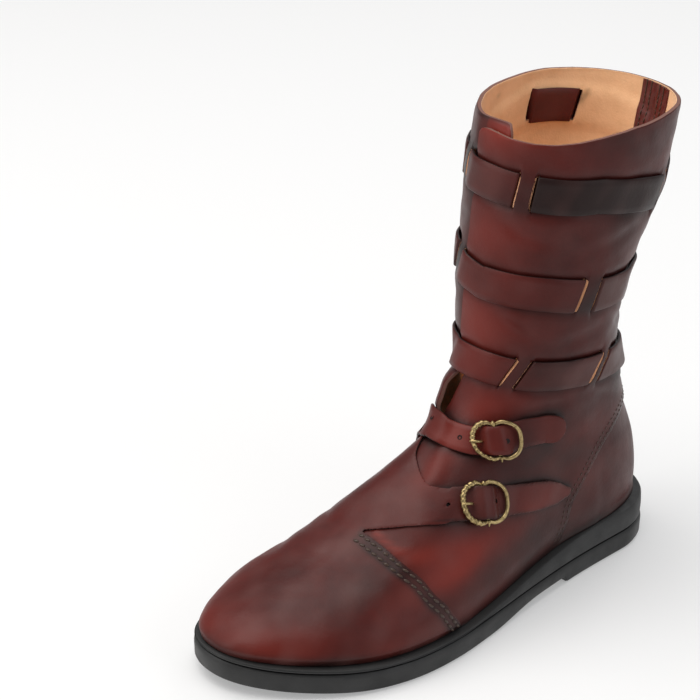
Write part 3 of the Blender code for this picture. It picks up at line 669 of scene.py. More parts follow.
def stains_and_painted_light(turn, v, points):
    """Darker and redder shares: the uneven tone of the hand-rubbed dye, the listed stains with their
    painted shade and painted highlights, and darker towards the sole.
    """
    dark = 0.41 + 0.13 * wobble(points, 46.0, 4) + 0.06 * wobble(points, 17.0, 9)
    warm = 0.16 + 0.12 * wobble(points, 60.0, 21)
    for t, h, reach_t, reach_v, more, red in STAINS_AND_PAINTED_LIGHT:
        patch = lobe(turn, v, (t, h), (reach_t, reach_v))
        dark = dark + more * patch
        warm = warm + red * patch
    dark = dark + 0.45 * (1 - smooth(v / 0.05))
    return dark, warm


def stain_and_light_colour(dark, warm, pale, inner=0.0):
    """Colour attribute of the leather: darker (stains and painted shade), redder (red tone and painted
    highlights), paler (rubbing and painted sheen), and in its alpha dye spots and painted shade on the
    inside.
    """
    shares = [np.broadcast_to(c, np.shape(dark)) for c in (dark, warm, pale, inner)]
    return np.clip(np.stack(shares, -1), 0, 1)


def strap_gap(turn, points):
    """Millimetres outside the nearest shaft strap's edge, measured up the shaft."""
    around = half_turn(turn)
    best = np.full(len(points), 99.0)
    for name in ("shaft_strap_top", "shaft_strap_middle", "shaft_strap_low"):
        middle = ring_height(line(track_of(name), 1, around), points[:, 1])
        best = np.minimum(best, np.abs(points[:, 2] - middle) - STRAPS[name].width / 2)
    return best


def flap_start(v):
    """Turn of the lateral flap's front edge."""
    open_part = smooth((v - 0.445) / 0.02) * (1 - smooth((v - 0.519) / 0.006))
    return FLAP_TURN + open_part * np.interp(v, [0.445, 0.520], [1.0, 9.0])


def flap_lift(turn, v):
    side = np.where(turn < FLAP_TURN - 2.5, 0.0, 1 - smooth((turn - FLAP_TURN) / 75.0))
    return FLAP_LIFT * side * smooth((v - 0.50) / 0.04)


def flap_cover(turn, v):
    """Height that a strap needs to clear the front edge of the lateral flap."""
    before = FLAP_LIFT * smooth((turn - FLAP_TURN + 13.0) / 12.0) * smooth((v - 0.50) / 0.04)
    return np.where(turn < FLAP_TURN, before, flap_lift(turn, v))


def narrow(first, last):
    """True where the strap passes behind a short bridge, not along a whole inside stretch."""
    return last - first < 15.0


def bridge_lift(points):
    """Bridges between the slits stand out over the straps that run behind them."""
    total = np.zeros(len(points))
    for name, strap in STRAPS.items():
        track = track_of(name)
        for first, last in strap.spans:
            if not narrow(first, last):
                continue
            centre, along, across, per_turn = path_axes(track, np.array([(first + last) / 2]))
            step = points - centre[0]
            wide = np.abs(step @ across[0])
            run = np.abs(step @ along[0] - strap.lean * (step @ across[0]))
            half = (last - first) / 2 * per_turn[0]
            soft = 1.3 + 7.0 * smooth((wide - strap.width / 2) / 5.0)
            above = 1 - smooth((wide - strap.width / 2 + 4.0) / 10.0)
            raised = above * (1 - smooth((run - half + 0.2) / soft))
            total = np.maximum(total, np.where(np.linalg.norm(step, axis=1) < 45.0, raised, 0.0))
    return total


def slit_distance(points):
    """Millimetres outside (above zero) the nearest strap slit."""
    best = np.full(len(points), 99.0)
    for name, strap in STRAPS.items():
        track = track_of(name)
        for first, last in strap.spans:
            long = SLIT_NARROW if narrow(first, last) else SLIT_WIDE
            tilt = strap.lean if narrow(first, last) else -LONG_LEAN
            for at, side in ((first, -1.0), (last, 1.0)):
                centre, along, across, _ = path_axes(track, np.array([at]))
                step = points - centre[0]
                wide = step @ across[0]
                run = step @ along[0] - tilt * wide - side * long / 2
                spare = 0.2 if narrow(first, last) else -0.7
                box = np.maximum(np.abs(run) - long / 2, np.abs(wide) - strap.width / 2 - spare)
                far = np.abs(np.sum(step * normals(centre)[0], 1)) > 30.0
                best = np.minimum(best, np.where(far, 99.0, box))
    return best


def cinch(turn, v, points):
    """Leather drawn in under the straps and swelling between them, with the listed creases."""
    inward = 1 - smooth((strap_gap(turn, points) + 1.5) / 6.5)
    shaft = smooth((v - 0.46) / 0.06)
    wave = (0.45 - 1.45 * inward) * shaft * smooth((1.0 - v) / 0.06)
    soft = 0.8 * wobble(points, 62.0, 3) * smooth((v - 0.30) / 0.2)
    fine = 0.16 * wobble(points, 15.0, 12) * smooth((v - 0.30) / 0.2)
    fold = np.zeros(len(points))
    for t, h, reach_t, reach_v, tilt, deep in CREASES:
        away = half_turn(turn - t)
        line_v = v - h - tilt * away
        groove = np.exp(-(line_v / reach_v) ** 2)
        swell = np.exp(-((line_v - 2.1 * reach_v) / (1.4 * reach_v)) ** 2)
        fold += deep * np.exp(-(away / reach_t) ** 2) * (groove - 0.6 * swell)
    return wave + soft + fine - fold


# Creases: turn, v, reach in turn, reach in v, slope in v per degree, depth in mm
CREASES = [
    (150.0, 0.640, 24.0, 0.012, 0.0008, 1.8),
    (168.0, 0.505, 28.0, 0.010, 0.0004, 1.4),
    (120.0, 0.615, 18.0, 0.010, -0.0012, 0.9),
    (70.0, 0.600, 24.0, 0.011, 0.0006, 0.8),
    (28.0, 0.610, 16.0, 0.010, -0.0010, 0.9),
    (52.0, 0.480, 20.0, 0.010, 0.0006, 0.9),
    (105.0, 0.490, 20.0, 0.011, -0.0008, 1.1),
    (90.0, 0.760, 26.0, 0.012, 0.0006, 0.7),
    (30.0, 0.770, 18.0, 0.012, -0.0008, 0.8),
    (150.0, 0.760, 20.0, 0.012, 0.0010, 0.9),
    (-60.0, 0.610, 30.0, 0.012, 0.0006, 0.9),
    (-100.0, 0.480, 26.0, 0.011, -0.0004, 1.2),
    (-130.0, 0.620, 24.0, 0.012, -0.0006, 1.2),
    (-40.0, 0.470, 16.0, 0.009, 0.0010, 1.0),
    (-80.0, 0.770, 26.0, 0.012, 0.0006, 0.8),
]


def throat_ridge(turn, v):
    """Fold of the quarter that stands out between the two buckle straps."""
    middle = np.interp(v, [0.352, 0.375, 0.397], [12.5, 8.5, 3.5])
    high = smooth((v - 0.33) / 0.03) * (1 - smooth((v - 0.40) / 0.03))
    return 1.6 * high * np.exp(-((turn - middle) / 6.0) ** 2)


def seam_fold(turn, v):
    """Red fold of the quarter beside the vamp seam, 1 along its crest."""
    middle = np.interp(turn, [0.9, 19.5, 24.2], [0.2743, 0.2558, 0.2507])
    ends = smooth((turn + 2.0) / 6.0) * (1 - smooth((turn - 22.0) / 10.0))
    return ends * np.exp(-((v - middle) / 0.006) ** 2)


def upper_high(turn, v, points):
    lift = flap_lift(turn, v) + BRIDGE_LIFT * bridge_lift(points) + cinch(turn, v, points)
    lift = lift + throat_ridge(turn, v) + 0.8 * seam_fold(turn, v)
    tail = smooth((turn - 335.0) / 14.0) * smooth((v - 0.50) / 0.05)
    lift = lift * (1 - tail) - 0.9 * tail
    lift = lift - 3.6 * smooth((turn - 338.0) / 22.0) * smooth((v - 0.88) / 0.12)
    edge = smooth((turn - 318.0) / 24.0) * smooth((v - 0.42) / 0.03) * (1 - smooth((v - 0.485) / 0.035))
    lift = lift + 6.0 * edge
    return lift * smooth(v / 0.05)


def upper_tint(turn, v, points):
    dark, warm = stains_and_painted_light(turn, v, points)
    around = half_turn(turn)
    shade = 0.34 * np.exp(-np.clip(strap_gap(turn, points), 0, None) / 2.6)
    for place in (arm_place, ankle_place):
        inside, at = place(points)
        near = np.where(np.abs(around - at) < 40.0, np.clip(-inside, 0, None), 99.0)
        shade = np.maximum(shade, 0.62 * np.exp(-near / 2.4))
    dark = dark + shade
    # Painted shade on the medial sheet beside and under the front edge of the lateral flap.
    under = smooth((around + 62.0) / 40.0) * np.where(around < FLAP_TURN, 1.0, 0.0)
    dark = dark + 0.42 * under * smooth((v - 0.5) / 0.05)
    rim = np.abs(border(counter_loop(), turn % 360.0, v))
    dark = dark + 0.35 * np.exp(-rim / 4.0) - 0.30 * seam_fold(turn, v)
    warm = warm + 0.80 * seam_fold(turn, v)
    pale = np.clip(0.10 * wobble(points, 24.0, 31), 0, 1)
    inner = 0.55 * lobe(turn, v, (-139.5, 0.888), (2.6, 0.008))
    inner = inner + 0.5 * lobe(turn, v, (-143.0, 0.896), (2.0, 0.006))
    inner = inner + 0.22 * lobe(turn, v, (-78.0, 0.93), (2.0, 0.010))
    # Painted shade in the opening beside the lateral flap's front edge, carried in the alpha; the spots
    # above are dye stains.
    opening = (1 - smooth((np.abs(around - FLAP_TURN) - 26.0) / 14.0)) * (1 - smooth((v - 0.53) / 0.05))
    inner = np.maximum(inner, opening)
    return stain_and_light_colour(dark, warm, pale, inner)


def upper_columns():
    turns = [np.linspace(-19.0, 374.0, 236)]
    for strap in STRAPS.values():
        for pair in strap.spans:
            for at in pair:
                turns.append(np.arange(at - 3.15, at + 3.2, 0.9))
    turns = np.concatenate(turns)
    turns = np.where(turns < -19.0, turns + 360.0, turns)
    turns = np.sort(turns)
    return turns[np.concatenate([[True], np.diff(turns) > 0.30])]


def build_upper(looks, thick):
    turns = upper_columns()
    rows = np.concatenate([np.linspace(0.0, 0.90, 128), np.linspace(0.905, 1.0, 16)])
    flat_t, flat_v = flat_grid(turns, rows)
    points = skin(flat_t, flat_v)
    keep = (flat_t - flap_start(flat_v)) * MAP_TURN
    tail_end = 344.5 + 22.5 * smooth((flat_v - 0.53) / 0.02)
    tail_gap = (tail_end - flat_t) * MAP_TURN
    keep = np.minimum(keep, tail_gap)
    rim_gap = ring_height(line(RIM_ROWS, 1, flat_t), points[:, 1]) - points[:, 2] + 0.02
    side_gap = np.where(flat_t > 300.0, tail_gap, 99.0)
    side_gap = np.where(flat_t < 60.0, (flat_t - FLAP_TURN) * MAP_TURN, side_gap)
    round_by = np.where(flat_t < 60.0, 3.0, 8.0)
    past_side = np.clip(round_by - side_gap, 0, None)
    past_rim = np.clip(round_by - rim_gap, 0, None)
    corner = round_by - np.hypot(past_side, past_rim)
    keep = np.where(flat_v > 0.75, np.minimum(keep, np.minimum(corner, rim_gap)), keep)
    loop = vamp_loop()
    under = np.maximum(border(loop, flat_t, flat_v), border(loop, flat_t - 360.0, flat_v))
    keep = np.minimum(keep, 8.0 - under)
    keep = np.minimum(keep, -border(counter_loop(), flat_t, flat_v))
    keep = np.minimum(keep, slit_distance(points))
    flat, faces = trim(turns, rows, keep.reshape(len(turns), len(rows)))
    ob = leather_panel("boot_upper", flat, faces, upper_high, thick, looks, upper_tint,
                       lambda at: np.abs(slit_distance(at)) < 0.7)
    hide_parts("upper")
    return ob


def hump_rise(path, key, turn, high):
    per_turn = path_axes(path, np.array([BUCKLE_TURN[key]]))[3][0]
    away = np.abs(turn - BUCKLE_TURN[key]) * per_turn
    return high * (1 - smooth((away - 2.0) / (HUMP_REACH + 1.5)))


def vamp_high(turn, v, points):
    inside, at = arm_place(points)
    rise = np.where(inside > -0.6, hump_rise(VAMP_ARM, "lower", at, HUMP), 0.0)
    soft = 0.45 * wobble(points, 55.0, 41) + 0.10 * wobble(points, 14.0, 42)
    fold = np.zeros(len(points))
    for t, h, reach_t, reach_v, tilt, deep in VAMP_CREASES:
        away = turn - t
        across = v - h - tilt * away
        fold += deep * np.exp(-(away / reach_t) ** 2 - (across / reach_v) ** 2)
    tail = np.where(inside > -0.6, smooth((at - 58.0) / 20.0), 0.0)
    return (VAMP_LIFT + soft * (1 - tail) - fold) * (0.15 + 0.85 * smooth(v / 0.03)) + rise + 0.7 * tail


# Walking creases of the vamp: turn, v, reach in turn, reach in v, slope, depth
VAMP_CREASES = [
    (-24.0, 0.215, 16.0, 0.010, 0.0004, 0.8),
    (-30.0, 0.250, 18.0, 0.009, 0.0006, 0.7),
    (-52.0, 0.170, 18.0, 0.010, 0.0010, 0.7),
    (8.0, 0.235, 14.0, 0.009, -0.0006, 0.6),
]


def vamp_tint(turn, v, points):
    dark, warm = stains_and_painted_light(turn, v, points)
    seam = dense(VAMP_SEAM, 60)
    near = np.full(len(points), 99.0)
    for spot in skin(seam[:, 0], np.clip(seam[:, 1], 0, 1)):
        near = np.minimum(near, np.linalg.norm(points - spot, axis=1))
    above = v - line(VAMP_SEAM, 1, turn)
    band = (1 - smooth((near - 6.6) / 3.2)) * smooth((turn + 8.5) / 5.0)
    band = band * (1 - smooth((above - 0.001) / 0.005))
    # A darker band along the seam, with painted shade in the grooves of its two stitch rows.
    rows = np.exp(-((near - 2.2) / 0.9) ** 2) + np.exp(-((near - 6.2) / 0.9) ** 2)
    dark = dark + band * (0.34 + 0.30 * rows)
    inside, at = arm_place(points)
    on_arm = smooth((inside + 0.6) / 0.5) * smooth((turn - 26.0) / 8.0)
    tail = on_arm * smooth((at - 60.0) / 18.0)
    dark = dark + on_arm * (0.10 + 0.30 * (1 - smooth(inside / 2.2))) - 0.12 * tail
    warm = warm * (1 - 0.6 * band) + 0.55 * tail
    pale = 0.16 * wobble(points, 20.0, 51) + 0.05
    # Painted highlights: paler sheen on the vamp beside the arm and on its ridge towards the toe.
    pale = pale + 0.34 * lobe(turn, v, (9.0, 0.308), (13.0, 0.026))
    pale = pale + 0.18 * lobe(turn, v, (-4.0, 0.235), (12.0, 0.03))
    pale = np.clip(pale, 0, 1)
    return stain_and_light_colour(dark, warm, pale)


def punch(points, places):
    """Millimetres outside the nearest round hole: each place is a centre and a radius."""
    best = np.full(len(points), 99.0)
    for centre, radius in places:
        best = np.minimum(best, np.linalg.norm(points - centre, axis=1) - radius)
    return best


def holes_on(path, places):
    out = []
    for turn, up in places:
        centre, _, across, _ = path_axes(path, np.array([turn]))
        out.append((project(centre + across * up)[0], 1.25))
    return out


def build_vamp(looks, thick):
    turns = np.linspace(-120.0, 106.0, 280)
    rows = np.linspace(0.0, 0.405, 120)
    flat_t, flat_v = flat_grid(turns, rows)
    points = skin(flat_t, flat_v)
    main = border(vamp_loop(), flat_t, flat_v)
    main = np.where(flat_v < 0.005, np.where(main > -3.0, 3.0, main), main)
    inside, _ = arm_place(points)
    arm = np.where(flat_t > 25.0, inside, -9.0)
    blend = np.clip(0.5 + 0.5 * (main - arm) / 2.5, 0, 1)
    keep = arm + (main - arm) * blend + 2.5 * blend * (1 - blend)
    bar = BUCKLE_TURN["lower"]
    keep = np.minimum(keep, punch(points, holes_on(VAMP_ARM, [(31.0, 0.0), (bar + 5.4, 0.4)])))
    keep = np.minimum(keep, slit_distance(points))
    flat, faces = trim(turns, rows, keep.reshape(len(turns), len(rows)))
    ob = leather_panel("boot_vamp", flat, faces, vamp_high, thick, looks, vamp_tint)
    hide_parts("vamp")
    return ob


def counter_high(turn, v, points):
    return (-1.1 + 0.3 * wobble(points, 60.0, 61)) * smooth(v / 0.04) + 0.2


def counter_tint(turn, v, points):
    dark, warm = stains_and_painted_light(turn, v, points)
    return stain_and_light_colour(dark + 0.12, warm * 0.8, np.clip(0.14 * wobble(points, 26.0, 71), 0, 1))


def build_counter(looks, thick):
    turns = np.linspace(108.0, 252.0, 130)
    rows = np.linspace(0.0, 0.50, 90)
    flat_t, flat_v = flat_grid(turns, rows)
    keep = border(counter_loop(), flat_t, flat_v) + 7.0
    flat, faces = trim(turns, rows, keep.reshape(len(turns), len(rows)))
    ob = leather_panel("boot_counter", flat, faces, counter_high, thick, looks, counter_tint)
    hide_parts("heel_counter")
    return ob


def ankle_high(turn, points):
    """Height of the ankle strap's underside, following the creased leather below it."""
    level = line(ANKLE_STRAP, 1, turn)
    follow = np.maximum(cinch(turn, level, points), 0.0) * smooth((turn - 2.0) / 10.0)
    upward = (points[:, 2] - ring_height(level, points[:, 1])) / 8.0
    front = np.exp(-((turn + 18.0) / 13.0) ** 2) * (0.6 + 1.6 * upward)
    return ankle_base(turn) + follow + front + 0.8 * smooth((turn - 56.0) / 14.0)


def ankle_base(turn):
    over = np.where((turn > -120) & (turn < -4), 1.0, 0.0)
    over = np.where(turn >= -4, np.clip(1 - (turn + 4) / 8, 0, 1), over)
    over = np.where(turn <= -120, np.clip(1 - (-120 - turn) / 8, 0, 1), over)
    rise = hump_rise(ANKLE_STRAP, "upper", turn, HUMP)
    tucked = 1 - smooth((turn + 139.0) / 14.0)
    return 0.9 + smooth(over) * VAMP_LIFT + rise - 1.3 * tucked


def shaft_base(turn, v, points, stand):
    """Height of a shaft strap's underside over the skin: clear of the flap, standing off at the back."""
    around = half_turn(turn)
    at_back = np.clip(1 - np.abs(half_turn(turn - 165.0)) / 40.0, 0, 1)
    close = 1 - smooth(at_back * 2.0)
    follow = np.clip(cinch(turn, v, points) + 1.0, 0.0, 1.6) * close
    return -0.3 + flap_cover(around, v) + stand * smooth(at_back) + follow


def build_band(name, node, base, looks, thick):
    """Strap with rounded edges that dips through the slits and runs inside between them."""
    strap = STRAPS[node]
    track = track_of(node)
    closed = node != "ankle_strap"
    start, end = strap.path[0, 0], strap.path[-1, 0]
    ramps = []
    depth = []
    turns = [np.arange(start, end, 1.3)]
    for first, last in strap.spans:
        per_turn = path_axes(track, np.array([first, last]))[3]
        slit = (1.7 if narrow(first, last) else 2.9) / per_turn
        depth.append(-2.3 if narrow(first, last) else -5.0)
        ramps.append((first - slit[0], first - 0.1, last + 0.1, last + slit[1]))
        turns.append(np.linspace(first - 1.7 * slit[0], first + 0.6 * slit[0], 12))
        turns.append(np.linspace(last - 0.6 * slit[1], last + 1.7 * slit[1], 12))
    if not closed:
        turns.append(np.linspace(end - 16.0, end, 40))
    turns = np.concatenate(turns)
    turns = np.where(turns < start, turns + 360.0, turns)
    turns = np.sort(turns[turns <= end + (-0.2 if closed else 1e-6)])
    turns = turns[np.concatenate([[True], np.diff(turns) > 0.12])]
    dip = np.zeros(len(turns))
    inside = np.full(len(turns), -2.3)
    for ramp, deep in zip(ramps, depth):
        for shift in (-360.0, 0.0):
            share = np.interp(turns + shift, ramp, [0, 1, 1, 0], left=0, right=0)
            inside = np.where(share > dip, deep, inside)
            dip = np.maximum(dip, share)
    dip = smooth(dip)
    half = np.full(len(turns), strap.width / 2) if closed else ankle_half(turns)
    centre, along, across, per_turn = path_axes(track, turns)
    steps = np.array([-1.0, -0.93, -0.6, -0.2, 0.2, 0.6, 0.93, 1.0])
    leans = np.full(len(turns), strap.lean)
    for first, last in strap.spans:
        if not narrow(first, last):
            for shift in (-360.0, 0.0):
                share = np.interp(turns + shift, [first - 9, first - 3, last + 3, last + 9], [0, 1, 1, 0])
                leans = leans * (1 - share) - LONG_LEAN * share
    way = across + along * leans[:, None]
    points = project(centre[:, None] + way[:, None] * half[:, None, None] * steps[None, :, None])
    count = len(steps)
    outside = base(np.repeat(turns, count), points.reshape(-1, 3)).reshape(len(turns), count)
    soft = 0.25 * wobble(points.reshape(-1, 3), 30.0, len(name)).reshape(len(turns), count)
    low = (outside + soft) * (1 - dip)[:, None] + (inside * dip)[:, None]
    drop = np.where(np.abs(steps) > 0.99, 0.75, np.where(np.abs(steps) > 0.9, 0.12, 0.0))
    n = normals(points)
    top = points + n * (low + thick - drop)[..., None]
    bottom = points + n * (low + 0.4 * (drop > 0.5))[..., None]
    ring = np.concatenate([top, bottom[:, ::-1]], 1)
    sides = 2 * count
    total = len(turns)
    faces = [[a, d, c, b] for a, b, c, d in tube(total, sides, closed)]
    index = [1 if k % sides in (count - 1, sides - 1) else 0 for k in range(len(faces))]
    if not closed:
        faces.append(list(range(sides)))
        faces.append([(total - 1) * sides + k for k in reversed(range(sides))])
        index += [1, 1]
    turn = np.repeat(turns, sides)
    spots = ring.reshape(-1, 3)
    dark, warm = stains_and_painted_light(turn, line(track, 1, turn), spots)
    edge = np.tile(np.concatenate([np.abs(steps), np.abs(steps[::-1])]), total)
    # Painted shade where the strap dips into a slit behind a bridge; lighter along its long stretches
    # inside the shaft.
    hidden = np.repeat(dip * np.where(inside < -3.0, -0.5, 0.4), sides)
    dark = dark + 0.26 + 0.9 * np.clip(edge - 0.85, 0, 1) + hidden + BAND_SHADE[name](turn)
    pale = 0.07 * wobble(spots, 18.0, 80 + len(name)) + 0.02 + BAND_PAINTED_SHEEN[name](turn)
    warm = warm * 0.7 + BAND_WARM[name](turn)
    colour = stain_and_light_colour(dark, warm, np.clip(pale, 0, 1))
    ob = add_object(name, spots, faces, looks, index, colour, 48.0)
    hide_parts(node)


# Darker stretches of each strap, as a function of turn
BAND_SHADE = {
    "boot_strap_top": lambda t: np.where((t > 27.5) & (t < 119.0), 0.50, -0.08),
    "boot_strap_middle": lambda t: np.where((t > -30.0) & (t < 71.0), -0.15, 0.0),
    "boot_strap_low": lambda t: np.where((t > 33.0) & (t < 95.0), 0.0, -0.14),
    "boot_ankle_strap": lambda t: 0.30 * np.exp(-((t - 45.0) / 5.0) ** 2) - 0.34,
}


# Redder stretches of each strap, as a function of turn
BAND_WARM = {
    "boot_strap_top": lambda t: 0.0 * t,
    "boot_strap_middle": lambda t: 0.20 * np.exp(-((t - 20.0) / 40.0) ** 2),
    "boot_strap_low": lambda t: 0.25 * np.exp(-((t - 5.0) / 24.0) ** 2),
    "boot_ankle_strap": lambda t: (0.65 * np.exp(-((t - 4.0) / 22.0) ** 2)
                                   + 0.35 * smooth((t - 50.0) / 10.0)),
}


# Painted sheen: paler stretches of each strap where the light glances off it, as a function of turn
BAND_PAINTED_SHEEN = {
    "boot_strap_top": lambda t: (0.16 * np.exp(-((t + 5.0) / 16.0) ** 2)
                                 + 0.2 * np.exp(-((t + 121.0) / 14.0) ** 2)),
    "boot_strap_middle": lambda t: 0.34 * smooth((t - 74.0) / 8.0) * (1 - smooth((t - 150.0) / 20.0)),
    "boot_strap_low": lambda t: 0.26 * smooth((t - 45.0) / 35.0) * (1 - smooth((t - 150.0) / 20.0)),
    "boot_ankle_strap": lambda t: 0.0 * t,
}


def build_straps(looks, thick):
    for short in ("top", "middle", "low"):
        node = "shaft_strap_" + short

        def base(turn, points, node=node):
            level = line(track_of(node), 1, turn)
            return shaft_base(turn, level, points, STRAPS[node].stand)

        build_band("boot_strap_" + short, node, base, looks, thick)
    build_band("boot_ankle_strap", "ankle_strap", ankle_high, looks, thick)


def build_bridge_edges(raw):
    """Undyed cut edges of the bridges, shaved slanting, as thin three-sided strips."""
    parts = []
    for name, strap in STRAPS.items():
        half = strap.width / 2
        tip = np.array([half - 0.7, half, half + 0.35])
        wide = np.concatenate([-tip[::-1], np.linspace(-half + 1.6, half - 1.6, 7), tip])
        hook = np.clip(np.abs(wide) - half + 1.0, 0, None) ** 2
        for first, last in strap.spans:
            if not narrow(first, last):
                continue
            for at, side in ((first, -1.0), (last, 1.0)):
                centre, along, across, _ = path_axes(track_of(name), np.array([at]))
                spots = centre + across * wide[:, None] + along * (strap.lean * wide + side * hook)[:, None]
                inner = project(spots - along * side * 0.3)
                turn, v = place_of(inner, at)
                high = upper_high(turn, v, inner)[:, None]
                rows = [inner + normals(inner) * (high + 0.05)]
                shaved = EDGE_WIDE if side < 0 or at < -20.0 else 0.2
                for out, drop in ((shaved, -1.2), (-0.1, -1.9)):
                    spot = project(spots + along * side * out)
                    rows.append(spot + normals(spot) * (high + drop))
                if side > 0:
                    rows = [rows[0], rows[2], rows[1]]
                points = np.stack(rows, 1).reshape(-1, 3)
                last_ring = len(wide) * 3 - 3
                ends = [[2, 1, 0], [last_ring, last_ring + 1, last_ring + 2]]
                parts.append((points, tube(len(wide), 3) + ends))
    points, faces = merge(parts)
    ob = add_object("bridge_edges", points, faces, [raw], None, None, 40.0)


def slab(name, levels, stations, look):
    """Stack of sole outlines: each level is an inset and a height function of the fraction."""
    s = np.concatenate([stations, stations[-2:0:-1]])
    lateral = np.arange(len(s)) < len(stations)
    n = len(s)
    rings = []
    for inset, height in levels:
        k = inset / LENGTH
        at = k + (1 - 2 * k) * s
        centre, wide_l, wide_m = half_widths(at, inset)
        x = np.where(lateral, centre + wide_l, centre - wide_m)
        rings.append(np.stack([x, LENGTH / 2 - at * LENGTH, height(at)], 1))
    faces = tube(len(levels), n)
    m = len(stations)
    for base, flip in ((0, True), ((len(levels) - 1) * n, False)):
        for i in range(m - 1):
            a, b = base + i, base + i + 1
            c, d = base + (n - i - 1) % n, base + (n - i) % n
            face = [a, b, c] if i == 0 else ([a, b, d] if i == m - 2 else [a, b, c, d])
            faces.append(face[::-1] if flip else face)
    points = np.concatenate(rings)
    flat = [list(reversed(f)) for f in faces]
    return add_object(name, points, flat, [look], None, None, 32.0)


def sole_bottom(s):
    """Underside: flat at heel and forefoot, raised at the waist, toe spring in front."""
    arch = BREAST_STEP * smooth((s - 0.298) / 0.012) * (1 - smooth((s - 0.38) / 0.16))
    return arch + spring(s)


def build_sole(rubber, insole):
    ends = 0.5 - 0.5 * np.cos(np.linspace(0, np.pi, 150))
    stations = np.unique(np.concatenate([ends, np.linspace(0.29, 0.32, 10)]))
    split = lambda s: OUTSOLE_THICK + spring(s)
    levels = [(4.0, sole_bottom), (1.9, lambda s: sole_bottom(s) + 0.1),
              (0.7, lambda s: sole_bottom(s) + 0.7), (0.15, lambda s: sole_bottom(s) + 1.9),
              (0.0, lambda s: split(s) - 3.0), (0.3, lambda s: split(s) - 1.4),
              (1.1, lambda s: split(s) - 0.4), (2.4, lambda s: split(s))]
    ob = slab("boot_outsole", levels, stations, rubber)
    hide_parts("outsole")
    low = lambda s: split(s) + 0.2
    middle = lambda s: low(s) + 0.45 * (feather(s) - low(s))
    levels = [(2.6, low), (1.2, lambda s: low(s) + 0.35), (0.45, lambda s: low(s) + 1.2),
              (0.25, middle), (0.5, lambda s: feather(s) - 1.6), (1.1, lambda s: feather(s) - 0.5),
              (2.3, feather)]
    ob = slab("boot_midsole", levels, stations, rubber)
    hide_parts("midsole")
    levels = [(9.0, lambda s: feather(s) + 0.4), (8.8, lambda s: feather(s) + 1.6),
              (9.8, lambda s: feather(s) + 2.4)]
    ob = slab("boot_insole", levels, stations[::2], insole)
    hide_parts("insole")


def on_buckle(key, local):
    """Points of a buckle laid on the skin: along the strap, across it, outward."""
    path = ANKLE_STRAP if key == "upper" else VAMP_ARM
    centre, along, across, _ = path_axes(path, np.array([BUCKLE_TURN[key]]))
    points = project(centre + along * local[:, :1] + across * local[:, 1:2])
    return points + normals(points) * local[:, 2:3]


def rod(path, radius, sides, closed):
    """Round bar along points that lie in the strap's plane; radius for each point and side."""
    n = len(path)
    along = np.roll(path, -1, 0) - np.roll(path, 1, 0) if closed else np.gradient(path, axis=0)
    along = unit(along)
    side = unit(np.cross(along, np.array([0.0, 0.0, 1.0])))
    over = np.cross(side, along)
    angle = np.arange(sides) * 2 * np.pi / sides
    ring = np.cos(angle)[None, :, None] * side[:, None] + np.sin(angle)[None, :, None] * over[:, None]
    points = (path[:, None] + np.asarray(radius)[..., None] * ring).reshape(-1, 3)
    faces = tube(n, sides, closed)
    if not closed:
        faces.append(list(reversed(range(sides))))
        faces.append(list(range((n - 1) * sides, n * sides)))
    return points, faces


def ball(centre, size, rows=10, columns=14):
    """Ellipsoid of points and faces."""
    up = np.linspace(-np.pi / 2, np.pi / 2, rows)
    around = np.arange(columns) * 2 * np.pi / columns
    u, a = np.meshgrid(up, around, indexing="ij")
    points = np.stack([np.cos(u) * np.cos(a), np.cos(u) * np.sin(a), np.sin(u)], -1).reshape(-1, 3)
    return points * np.asarray(size) + np.asarray(centre), tube(rows, columns)


def merge(parts):
    points = []
    faces = []
    base = 0
    for p, f in parts:
        points.append(p)
        faces += [[base + q for q in face] for face in f]
        base += len(p)
    return np.concatenate(points), faces


